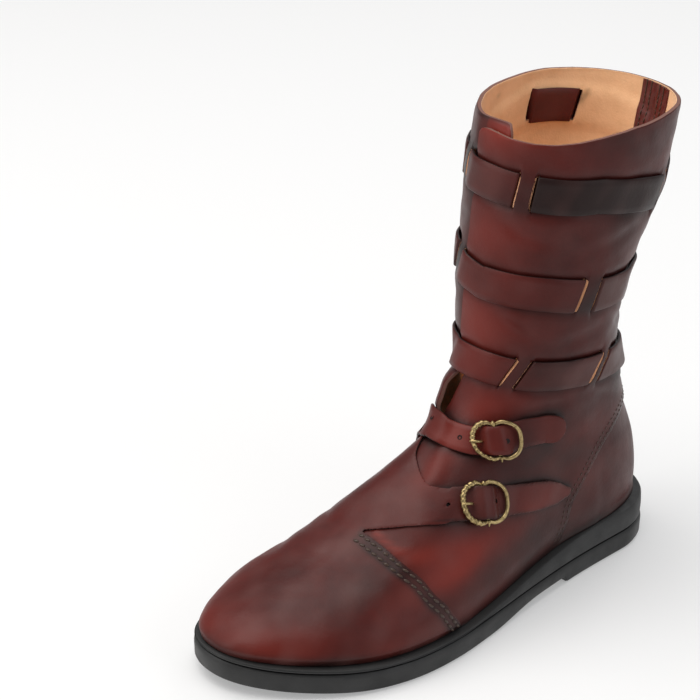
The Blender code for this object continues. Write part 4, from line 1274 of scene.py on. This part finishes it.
def build_buckle(key, strap_high, brass):
    """Double-looped frame with a ridged front loop, a knob, a pointed drop, its bar and its pin."""
    count = 200
    angle = np.linspace(0, 2 * np.pi, count, endpoint=False)
    c, s = np.cos(angle), np.sin(angle)
    x = BUCKLE_LONG[key] / 2 * np.sign(c) * np.abs(c) ** 0.74
    pinch = 1 - np.where(s > 0, 0.17, 0.10) * np.exp(-(x / 2.4) ** 2)
    y = BUCKLE_HIGH[key] / 2 * np.sign(s) * np.abs(s) ** 0.76 * pinch
    level = strap_high + GAP + 0.25 + 1.3
    lift = level - 0.6 * np.exp(-(x / 5.0) ** 2)
    path = np.stack([x, y, lift], 1)
    step = np.linalg.norm(np.roll(path, -1, 0) - path, axis=1)
    run = np.cumsum(step)
    sides = 12
    around = np.arange(sides) * 2 * np.pi / sides
    front = smooth((-x - 1.5) / 4.0)[:, None]
    rope = np.sin(run[:, None] * 2 * np.pi / 2.7 + around[None, :])
    flat = 1.0 + 0.14 * np.abs(np.cos(around))[None, :]
    thin = 1.0 - 0.22 * np.exp(-(x / 2.2) ** 2)[:, None]
    radius = 1.02 * thin * flat * (1 + front * (0.26 + 0.17 * rope))
    parts = [rod(path, radius, sides, True)]
    top = BUCKLE_HIGH[key] / 2
    parts.append(ball((0.0, top * 0.88, level + 0.3), (1.15, 1.9, 1.6)))
    parts.append(ball((0.0, -top * 0.95, level - 0.3), (1.0, 1.5, 1.1)))
    parts.append(ball((0.0, -top * 1.06, level - 0.4), (0.5, 1.2, 0.6)))
    bar_y = np.linspace(-top * 0.84, top * 0.84, 9)
    bar = np.stack([bar_y * 0, bar_y, np.full(9, level - 1.0)], 1)
    parts.append(rod(bar, np.full((9, 8), 0.9), 8, False))
    points, faces = merge(parts)
    ob = add_object("boot_%s_buckle" % key, on_buckle(key, points), faces, [brass], None, None, 60.0)
    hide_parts(key + "_buckle")
    tip = level + 1.5
    pin = np.array([[-6.4, 0.0, strap_high - 0.6], [-7.2, 0.0, strap_high + 0.5], [-8.2, 0.0, tip - 1.4],
                    [-9.6, 0.0, tip - 0.3], [-11.2, 0.0, tip + 0.1], [-12.6, 0.0, tip],
                    [-13.6, 0.0, tip - 0.3]])
    size = np.array([0.7, 0.75, 0.8, 0.8, 0.75, 0.65, 0.4])
    points, faces = rod(pin, np.repeat(size[:, None], 10, 1), 10, False)
    ob = add_object("boot_%s_pin" % key, on_buckle(key, points), faces, [brass], None, None, 60.0)
    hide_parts(key + "_pin")


def slide(flat, way):
    """Places on the skin (turn, v) moved by the steps in way."""
    t, v = flat[:, 0], flat[:, 1]
    by_turn = skin(t + 0.5, v) - skin(t - 0.5, v)
    by_v = (skin(t, v + 0.003) - skin(t, np.clip(v - 0.003, 0, 1))) / 0.006
    a = np.sum(by_turn * by_turn, 1)
    b = np.sum(by_turn * by_v, 1)
    c = np.sum(by_v * by_v, 1)
    p = np.sum(by_turn * way, 1)
    q = np.sum(by_v * way, 1)
    det = np.maximum(a * c - b * b, 1e-9)
    return flat + np.stack([(p * c - q * b) / det, (a * q - b * p) / det], 1)


def stitch_row(edge, inset, pitch, high, side):
    """Stitch centres, directions and normals along a border (turn, v), inset from it."""
    points = skin(edge[:, 0], np.clip(edge[:, 1], 0, 1))
    along = unit(np.gradient(points, axis=0))
    n = normals(points)
    flat = slide(edge, np.cross(n, along) * inset * side)
    points = skin(flat[:, 0], flat[:, 1])
    step = np.linalg.norm(np.diff(points, axis=0), axis=1)
    run = np.concatenate([[0], np.cumsum(step)])
    at = np.arange(pitch / 2, run[-1] - pitch / 2, pitch)
    flat = np.stack([np.interp(at, run, flat[:, 0]), np.interp(at, run, flat[:, 1])], 1)
    points = skin(flat[:, 0], flat[:, 1])
    n = normals(points)
    lift = high(flat[:, 0], flat[:, 1], points)
    centres = points + n * np.asarray(lift)[:, None]
    return centres, unit(np.gradient(centres, axis=0)), n


def stitches(name, rows, size, look, lean=0.0):
    """Joined mesh of thread stitches: small ellipsoids laid along each row."""
    base, face = ball((0, 0, 0), (1, 1, 1), 6, 8)
    points = []
    faces = []
    total = 0
    for centres, along, n in rows:
        across = np.cross(n, along)
        turned = unit(along + across * lean)
        across = np.cross(n, turned)
        for c, a, b, d in zip(centres, turned, across, n):
            scaled = base * np.asarray(size)
            points.append(c + scaled[:, :1] * a + scaled[:, 1:2] * b + scaled[:, 2:] * d)
            faces += [[total + q for q in f] for f in face]
            total += len(base)
    ob = add_object(name, np.concatenate(points), faces, [look], None, None, 60.0)
    return ob


def build_stitches(thread, seam_pitch, counter_pitch):
    seam = dense(VAMP_SEAM, 160)
    seam = seam[(seam[:, 0] > -5.0) & (seam[:, 1] > 0.004)]
    rows = [stitch_row(seam, inset, seam_pitch, vamp_high, -1.0) for inset in (2.2, 6.2)]
    stitches("vamp_stitches", rows, (1.95, 0.78, 0.7), thread, 0.2)
    edge = counter_loop()
    rows = []
    for half in (edge[edge[:, 0] < 178.5], edge[edge[:, 0] > 181.5]):
        half = half[half[:, 1] > 0.012]
        for inset in (2.6, 6.2):
            rows.append(stitch_row(half, inset, counter_pitch, upper_high, 1.0))
    stitches("counter_stitches", rows, (1.15, 0.36, 0.34), thread, 0.0)


def build_stay(looks, thread):
    """Strip that covers the back seam on the inside, with its two stitch rows."""
    rows = np.linspace(0.54, 0.955, 70)
    turns = np.linspace(151.0, 177.0, 21)
    turn, v = flat_grid(turns, rows)
    points = skin(turn, v)
    n = normals(points)
    groove = 0.7 * np.exp(-((turn - STAY_TURN) / 1.2) ** 2)
    edge = smooth((np.abs(turn - STAY_TURN) - 12.0) / 1.0)
    base = cinch(turn, v, points) - INNER_FACE
    low = points + n * base[:, None]
    top = points + n * (base - STAY_THICK + groove + 0.7 * edge)[:, None]
    count = len(rows)
    grid = np.arange(len(points)).reshape(len(turns), count)
    quads = np.stack([grid[:-1, :-1], grid[1:, :-1], grid[1:, 1:], grid[:-1, 1:]], -1).reshape(-1, 4)
    every, _ = two_sided(quads[:, ::-1].tolist(), len(points))
    dark, warm = stains_and_painted_light(turn, v, points)
    colour = stain_and_light_colour(dark - 0.25, warm + 0.2, np.clip(0.25 + 0.3 * wobble(points, 3.5, 71), 0, 1))
    ob = add_object("boot_back_stay", np.concatenate([top, low]), every, [looks[0]], None,
                    np.concatenate([colour, colour]))
    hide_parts("back_stay")
    marks = np.linspace(0.55, 0.945, 50)
    lines = []
    for at in (155.5, 160.0, 168.0, 172.5):
        spot = skin(np.full(len(marks), at), marks)
        inner = normals(spot)
        deep = cinch(np.full(len(marks), at), marks, spot) - INNER_FACE - STAY_THICK - 0.05
        centres = spot + inner * deep[:, None]
        lines.append((centres, unit(np.gradient(centres, axis=0)), -inner))
    stitches("stay_stitches", lines, (1.5, 0.4, 0.4), thread)


def build_holes(dark):
    """Punched holes of the ankle strap, set as dark cups in its surface that paint the shade inside them.
    """
    parts = []
    for turn, up in ((-14.0, 3.0), (9.3, 0.0), (BUCKLE_TURN["upper"] + 4.6, -0.5)):
        centre, along, across, _ = path_axes(ANKLE_STRAP, np.array([turn]))
        spot = project(centre + across * up)
        n = normals(spot)[0]
        high = ankle_high(np.array([turn]), spot)[0] + 2.0
        a = np.arange(HOLE_SIDES) * 2 * np.pi / HOLE_SIDES
        ring = np.cos(a)[:, None] * along[0] + np.sin(a)[:, None] * across[0]
        mid = spot[0] + n * (high + 0.34)
        rings = [mid + 1.35 * ring - n * 0.25, mid + 1.15 * ring, mid + 0.85 * ring - n * 0.3]
        points = np.concatenate(rings + [(mid - n * 0.35)[None]])
        inner = 2 * HOLE_SIDES
        bottom = [[inner + k, inner + (k + 1) % HOLE_SIDES, 3 * HOLE_SIDES] for k in range(HOLE_SIDES)]
        parts.append((points, tube(3, HOLE_SIDES) + bottom))
    points, faces = merge(parts)
    ob = add_object("strap_holes", points, faces, [dark], None, None, 60.0)


def rgba(colour):
    return tuple(colour[:3]) + (1.0,)


def plain_look(name, colour, rough, metal=0.0):
    m = bpy.data.materials.new(name)
    m.use_nodes = True
    shader = m.node_tree.nodes["Principled BSDF"]
    shader.inputs["Base Color"].default_value = rgba(colour)
    shader.inputs["Roughness"].default_value = rough
    shader.inputs["Metallic"].default_value = metal
    m.diffuse_color = rgba(colour)
    return m, shader


def noise(nodes, links, scale, detail, rough=0.55):
    tex = nodes.new("ShaderNodeTexNoise")
    tex.inputs["Scale"].default_value = scale
    tex.inputs["Detail"].default_value = detail
    tex.inputs["Roughness"].default_value = rough
    place = nodes.new("ShaderNodeTexCoord")
    links.new(place.outputs["Object"], tex.inputs["Vector"])
    return tex


def mix_colour(nodes, links, share, first, second):
    """Mix node output: share is a socket, first and second are sockets or colours."""
    node = nodes.new("ShaderNodeMix")
    node.data_type = "RGBA"
    links.new(share, node.inputs[0])
    for value, socket in ((first, node.inputs[6]), (second, node.inputs[7])):
        if isinstance(value, bpy.types.NodeSocket):
            links.new(value, socket)
        else:
            socket.default_value = rgba(value)
    return node.outputs[2]


def spread(nodes, links, source, low, high, start, end):
    node = nodes.new("ShaderNodeMapRange")
    node.inputs["From Min"].default_value = low
    node.inputs["From Max"].default_value = high
    node.inputs["To Min"].default_value = start
    node.inputs["To Max"].default_value = end
    links.new(source, node.inputs["Value"])
    return node.outputs["Result"]


def bump(nodes, links, shader, heights):
    """Chain of bump nodes: each height is a texture output, strength and depth in metres."""
    last = None
    for source, strength, deep in heights:
        node = nodes.new("ShaderNodeBump")
        node.inputs["Strength"].default_value = strength
        node.inputs["Distance"].default_value = deep
        links.new(source, node.inputs["Height"])
        if last is not None:
            links.new(last, node.inputs["Normal"])
        last = node.outputs["Normal"]
    links.new(last, shader.inputs["Normal"])


def dyed_leather(name, colours, rough):
    """Hand-stained leather: the colour attribute holds darker, redder and paler shares, which paint stains
    and shade, red tone and highlights, rubbed places and sheen.
    """
    m, shader = plain_look(name, colours.leather, rough)
    nodes, links = m.node_tree.nodes, m.node_tree.links
    stain_and_painted_light = nodes.new("ShaderNodeAttribute")
    stain_and_painted_light.attribute_name = "stain_and_painted_light"
    split = nodes.new("ShaderNodeSeparateColor")
    links.new(stain_and_painted_light.outputs["Color"], split.inputs["Color"])
    cloud = noise(nodes, links, 130.0, 5.0, 0.6)
    mottle = spread(nodes, links, cloud.outputs["Fac"], 0.35, 0.72, 0.0, 0.32)
    base = mix_colour(nodes, links, mottle, colours.leather, colours.leather_dark)
    base = mix_colour(nodes, links, split.outputs["Green"], base, colours.leather_red)
    base = mix_colour(nodes, links, split.outputs["Red"], base, colours.leather_dark)
    base = mix_colour(nodes, links, split.outputs["Blue"], base, colours.leather_rubbed_and_sheen)
    links.new(base, shader.inputs["Base Color"])
    fine = noise(nodes, links, 1500.0, 3.0)
    coarse = noise(nodes, links, 420.0, 3.0)
    patchy = noise(nodes, links, 60.0, 3.0)
    links.new(spread(nodes, links, patchy.outputs["Fac"], 0.3, 0.7, rough - 0.08, rough + 0.10),
              shader.inputs["Roughness"])
    bump(nodes, links, shader, [(coarse.outputs["Fac"], 0.22, 0.0004), (fine.outputs["Fac"], 0.25, 0.0002)])
    shader.inputs["Specular IOR Level"].default_value = 0.22
    return m


def flesh_leather(name, colour, dark, stain_and_painted_light=None):
    m, shader = plain_look(name, colour, 0.85)
    nodes, links = m.node_tree.nodes, m.node_tree.links
    cloud = noise(nodes, links, 90.0, 6.0, 0.65)
    share = spread(nodes, links, cloud.outputs["Fac"], 0.40, 0.75, 0.0, 0.55)
    base = mix_colour(nodes, links, share, colour, dark)
    # The alpha mixes in the spot colour: dye spots, and painted shade in the opening beside the lateral
    # flap.
    if stain_and_painted_light is not None:
        mark = nodes.new("ShaderNodeAttribute")
        mark.attribute_name = "stain_and_painted_light"
        base = mix_colour(nodes, links, mark.outputs["Alpha"], base, stain_and_painted_light)
    links.new(base, shader.inputs["Base Color"])
    fuzz = noise(nodes, links, 900.0, 4.0)
    bump(nodes, links, shader, [(fuzz.outputs["Fac"], 0.4, 0.0005)])
    shader.inputs["Sheen Weight"].default_value = 0.15
    return m


def rubber_look(name, colour):
    m, shader = plain_look(name, colour, 0.55)
    nodes, links = m.node_tree.nodes, m.node_tree.links
    grit = noise(nodes, links, 1100.0, 4.0)
    slow = noise(nodes, links, 70.0, 3.0)
    links.new(spread(nodes, links, slow.outputs["Fac"], 0.3, 0.7, 0.45, 0.65), shader.inputs["Roughness"])
    bump(nodes, links, shader, [(grit.outputs["Fac"], 0.25, 0.0003)])
    return m


def brass_look(name, colour, dark):
    m, shader = plain_look(name, colour, 0.34, 1.0)
    nodes, links = m.node_tree.nodes, m.node_tree.links
    cloud = noise(nodes, links, 420.0, 4.0)
    share = spread(nodes, links, cloud.outputs["Fac"], 0.48, 0.68, 0.0, 0.75)
    links.new(mix_colour(nodes, links, share, colour, dark), shader.inputs["Base Color"])
    links.new(spread(nodes, links, cloud.outputs["Fac"], 0.3, 0.7, 0.26, 0.5), shader.inputs["Roughness"])
    return m


LOOKS = {}


def make_looks(colours):
    if LOOKS:
        return LOOKS
    LOOKS["leather"] = dyed_leather("dyed_leather", colours, 0.40)
    LOOKS["strap"] = dyed_leather("dyed_strap", colours, 0.42)
    LOOKS["flesh"] = flesh_leather("flesh_side", colours.lining, colours.lining_dark, colours.lining_stain_and_shade)
    LOOKS["raw"] = flesh_leather("raw_edge", colours.raw_edge, colours.raw_dark)
    LOOKS["edge"] = plain_look("burnished_edge", colours.leather_dark, 0.5)[0]
    LOOKS["rim"] = plain_look("rim_edge", colours.rim, 0.6)[0]
    LOOKS["rubber"] = rubber_look("black_rubber", colours.rubber)
    LOOKS["insole"] = flesh_leather("insole_leather", colours.lining, colours.lining_dark)
    LOOKS["brass"] = brass_look("aged_brass", colours.brass, colours.brass_dark)
    LOOKS["thread"] = plain_look("waxed_thread", colours.thread, 0.35)[0]
    LOOKS["hole"] = plain_look("hole_shadow", colours.hole, 0.9)[0]
    return LOOKS


def place_camera():
    """Camera of the photo: 46 degrees round to the outer side and 26.5 degrees up."""
    round_by, up_by, roll = np.radians([46.0, 26.5, 0.5])
    back = np.array([np.sin(round_by) * np.cos(up_by), -np.cos(round_by) * np.cos(up_by), np.sin(up_by)])
    right = np.array([np.cos(round_by), np.sin(round_by), 0.0])
    up = np.cross(back, right)
    right, up = np.cos(roll) * right + np.sin(roll) * up, np.cos(roll) * up - np.sin(roll) * right
    away = 1200.0
    pixels = 2260.0
    aim = np.array([0.0, 0.0, 120.0])
    eye = aim + back * away - right * (96.0 / pixels * away) + up * (52.0 / pixels * away)
    data = bpy.data.cameras.new("photo_camera")
    data.sensor_width = 36.0
    data.lens = 36.0 * pixels / 700.0
    data.clip_start = 0.05
    data.clip_end = 20.0
    ob = bpy.data.objects.new("photo_camera", data)
    bpy.context.scene.collection.objects.link(ob)
    m = np.eye(4)
    m[:3, 0], m[:3, 1], m[:3, 2] = right, up, back
    m[:3, 3] = eye * MM - SHIFT
    ob.matrix_world = Matrix(m.tolist())
    bpy.context.scene.camera = ob


def area_light(name, at, toward, size, watts, colour):
    data = bpy.data.lights.new(name, "AREA")
    data.shape = "RECTANGLE"
    data.size, data.size_y = size
    data.energy = watts
    data.color = colour
    ob = bpy.data.objects.new(name, data)
    bpy.context.scene.collection.objects.link(ob)
    back = unit(np.array(at, float) - np.array(toward, float))
    right = unit(np.cross(np.array([0.0, 0.0, 1.0]), back))
    m = np.eye(4)
    m[:3, 0], m[:3, 1], m[:3, 2] = right, np.cross(back, right), back
    m[:3, 3] = at
    ob.matrix_world = Matrix(m.tolist())
    return ob


def colour_property(name, text, value):
    return bpy.props.FloatVectorProperty(name=name, description=text, default=value, size=3, min=0.0,
                                         max=1.0, subtype="COLOR")


def size_property(name, text, value):
    return bpy.props.FloatProperty(name=name, description=text, default=value, min=0.0, unit="LENGTH")


class BootSizes(bpy.types.PropertyGroup):
    upper_thick: size_property("Upper", "Thickness of the shaft and quarter leather", 0.0025)
    vamp_thick: size_property("Vamp", "Thickness of the vamp leather", 0.0017)
    counter_thick: size_property("Counter", "Thickness of the heel counter leather", 0.0016)
    strap_thick: size_property("Strap", "Thickness of the straps", 0.0020)
    seam_pitch: size_property("Vamp stitch", "Distance between stitches of the vamp seam", 0.0044)
    counter_pitch: size_property("Counter stitch", "Distance between stitches of the counter", 0.0033)


class BootColours(bpy.types.PropertyGroup):
    leather: colour_property("Leather", "Oxblood of the leather", (0.105, 0.013, 0.010))
    # Also the colour of the painted shade.
    leather_dark: colour_property("Leather, dark", "Darkest stain of the leather", (0.015, 0.0052, 0.0045))
    # Also the colour of the painted red highlights.
    leather_red: colour_property("Leather, red", "Reddest place of the leather", (0.190, 0.019, 0.011))
    # Also the colour of the painted sheen.
    leather_rubbed_and_sheen: colour_property("Leather, rubbed", "Dull rubbed places", (0.15, 0.065, 0.058))
    lining: colour_property("Flesh side", "Inside of the leather", (0.92, 0.56, 0.31))
    lining_dark: colour_property("Flesh side, dark", "Stains inside", (0.72, 0.40, 0.19))
    # Also the colour of the painted shade in the opening beside the lateral flap.
    lining_stain_and_shade: colour_property("Flesh side, spots", "Dye spots inside", (0.075, 0.040, 0.008))
    raw_edge: colour_property("Cut edge", "Undyed cut edges of the slits", (0.78, 0.38, 0.19))
    raw_dark: colour_property("Cut edge, dark", "Dye run into the cut edges", (0.42, 0.13, 0.05))
    rim: colour_property("Rim", "Edges of the shaft", (0.17, 0.07, 0.05))
    rubber: colour_property("Rubber", "Sole", (0.012, 0.012, 0.012))
    brass: colour_property("Brass", "Buckles", (0.42, 0.315, 0.150))
    brass_dark: colour_property("Brass, dark", "Tarnish of the buckles", (0.10, 0.068, 0.026))
    thread: colour_property("Thread", "Waxed stitches", (0.050, 0.026, 0.016))
    hole: colour_property("Hole", "Shadow in punched holes", (0.012, 0.004, 0.004))
    floor: colour_property("Floor", "Pale studio floor", (0.60, 0.60, 0.60))


class BuildStep:
    bl_options = {"REGISTER", "UNDO"}

    def looks(self, context):
        return make_looks(context.scene.boot_colours)


class BOOT_OT_sole(BuildStep, bpy.types.Operator):
    """Build the outsole, the midsole and the insole"""
    bl_idname = "boot.sole"
    bl_label = "Sole"

    def execute(self, context):
        looks = self.looks(context)
        build_sole(looks["rubber"], looks["insole"])
        return {"FINISHED"}


class BOOT_OT_upper(BuildStep, bpy.types.Operator):
    """Build the shaft and quarters with their slits and flaps"""
    bl_idname = "boot.upper"
    bl_label = "Upper"

    def execute(self, context):
        looks = self.looks(context)
        sheets = [looks["leather"], looks["flesh"], looks["rim"], looks["raw"]]
        build_upper(sheets, context.scene.boot_sizes.upper_thick / MM)
        return {"FINISHED"}


class BOOT_OT_vamp(BuildStep, bpy.types.Operator):
    """Build the vamp with the lower buckle strap"""
    bl_idname = "boot.vamp"
    bl_label = "Vamp"

    def execute(self, context):
        looks = self.looks(context)
        sheets = [looks["leather"], looks["flesh"], looks["edge"], looks["raw"]]
        build_vamp(sheets, context.scene.boot_sizes.vamp_thick / MM)
        return {"FINISHED"}


class BOOT_OT_counter(BuildStep, bpy.types.Operator):
    """Build the heel counter"""
    bl_idname = "boot.counter"
    bl_label = "Heel counter"

    def execute(self, context):
        looks = self.looks(context)
        sheets = [looks["leather"], looks["flesh"], looks["edge"], looks["raw"]]
        build_counter(sheets, context.scene.boot_sizes.counter_thick / MM)
        return {"FINISHED"}


class BOOT_OT_straps(BuildStep, bpy.types.Operator):
    """Build the three shaft straps and the ankle strap"""
    bl_idname = "boot.straps"
    bl_label = "Straps"

    def execute(self, context):
        looks = self.looks(context)
        build_straps([looks["strap"], looks["edge"]],
                     context.scene.boot_sizes.strap_thick / MM)
        build_holes(looks["hole"])
        build_bridge_edges(looks["raw"])
        return {"FINISHED"}


class BOOT_OT_buckles(BuildStep, bpy.types.Operator):
    """Build both buckles and their pins"""
    bl_idname = "boot.buckles"
    bl_label = "Buckles"

    def execute(self, context):
        brass = self.looks(context)["brass"]
        build_buckle("upper", GAP + 1.2 + 2.0, brass)
        build_buckle("lower", GAP + 0.4 + 1.5, brass)
        return {"FINISHED"}


class BOOT_OT_stay(BuildStep, bpy.types.Operator):
    """Build the strip inside the back seam"""
    bl_idname = "boot.stay"
    bl_label = "Back stay"

    def execute(self, context):
        looks = self.looks(context)
        build_stay([looks["strap"]], looks["thread"])
        return {"FINISHED"}


class BOOT_OT_stitches(BuildStep, bpy.types.Operator):
    """Build the stitches of the vamp seam and the counter"""
    bl_idname = "boot.stitches"
    bl_label = "Stitches"

    def execute(self, context):
        sizes = context.scene.boot_sizes
        build_stitches(self.looks(context)["thread"], sizes.seam_pitch / MM, sizes.counter_pitch / MM)
        return {"FINISHED"}


class BOOT_OT_stage(bpy.types.Operator):
    """Add the floor, the lights and the camera of the photo"""
    bl_idname = "boot.stage"
    bl_label = "Stage"
    bl_options = {"REGISTER", "UNDO"}

    def execute(self, context):
        mesh = bpy.data.meshes.new("studio_floor")
        mesh.from_pydata([(-6, -6, 0), (6, -6, 0), (6, 6, 0), (-6, 6, 0)], [], [(0, 1, 2, 3)])
        look, shader = plain_look("pale_floor", context.scene.boot_colours.floor, 0.6)
        shader.inputs["Emission Color"].default_value = (1.0, 1.0, 1.0, 1.0)
        shader.inputs["Emission Strength"].default_value = 0.30
        mesh.materials.append(look)
        floor = bpy.data.objects.new("studio_floor", mesh)
        context.scene.collection.objects.link(floor)
        aim = (0.0, 0.0, 0.12)
        area_light("key_light", (-0.5, -0.4, 2.1), aim, (2.2, 2.2), 44.0, (1.0, 0.98, 0.95))
        area_light("front_light", (-0.9, -1.6, 0.9), aim, (1.0, 1.0), 9.0, (1.0, 0.98, 0.95))
        area_light("side_light", (2.0, 0.5, 1.0), aim, (1.4, 1.6), 9.0, (0.98, 0.98, 1.0))
        area_light("back_light", (-0.2, 1.7, 1.6), aim, (1.6, 1.0), 8.0, (1.0, 1.0, 1.0))
        world = bpy.data.worlds.new("studio")
        world.use_nodes = True
        sky = world.node_tree.nodes["Background"]
        sky.inputs["Color"].default_value = (0.95, 0.97, 1.0, 1.0)
        sky.inputs["Strength"].default_value = 0.32
        context.scene.world = world
        context.scene.view_settings.view_transform = "Standard"
        place_camera()
        return {"FINISHED"}


class BOOT_PT_panel(bpy.types.Panel):
    """Sizes, colours and build steps of the boot"""
    bl_idname = "BOOT_PT_panel"
    bl_label = "Buckled boot"
    bl_space_type = "VIEW_3D"
    bl_region_type = "UI"
    bl_category = "Boot"

    def draw(self, context):
        layout = self.layout
        for group in (context.scene.boot_sizes, context.scene.boot_colours):
            box = layout.box()
            for key in group.__annotations__:
                box.prop(group, key)
        for step in STEPS:
            layout.operator(step.bl_idname)


STEPS = (BOOT_OT_sole, BOOT_OT_counter, BOOT_OT_upper, BOOT_OT_vamp, BOOT_OT_straps, BOOT_OT_buckles,
         BOOT_OT_stay, BOOT_OT_stitches, BOOT_OT_stage)
CLASSES = (BootSizes, BootColours) + STEPS + (BOOT_PT_panel,)


def register():
    for item in CLASSES:
        bpy.utils.register_class(item)
    bpy.types.Scene.boot_sizes = bpy.props.PointerProperty(type=BootSizes)
    bpy.types.Scene.boot_colours = bpy.props.PointerProperty(type=BootColours)


def unregister():
    del bpy.types.Scene.boot_colours
    del bpy.types.Scene.boot_sizes
    for item in reversed(CLASSES):
        bpy.utils.unregister_class(item)


def main():
    register()
    bpy.ops.boot.sole()
    bpy.ops.boot.counter()
    bpy.ops.boot.upper()
    bpy.ops.boot.vamp()
    bpy.ops.boot.straps()
    bpy.ops.boot.buckles()
    bpy.ops.boot.stay()
    bpy.ops.boot.stitches()
    bpy.ops.boot.stage()
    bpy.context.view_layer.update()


if __name__ == "__main__":
    main()
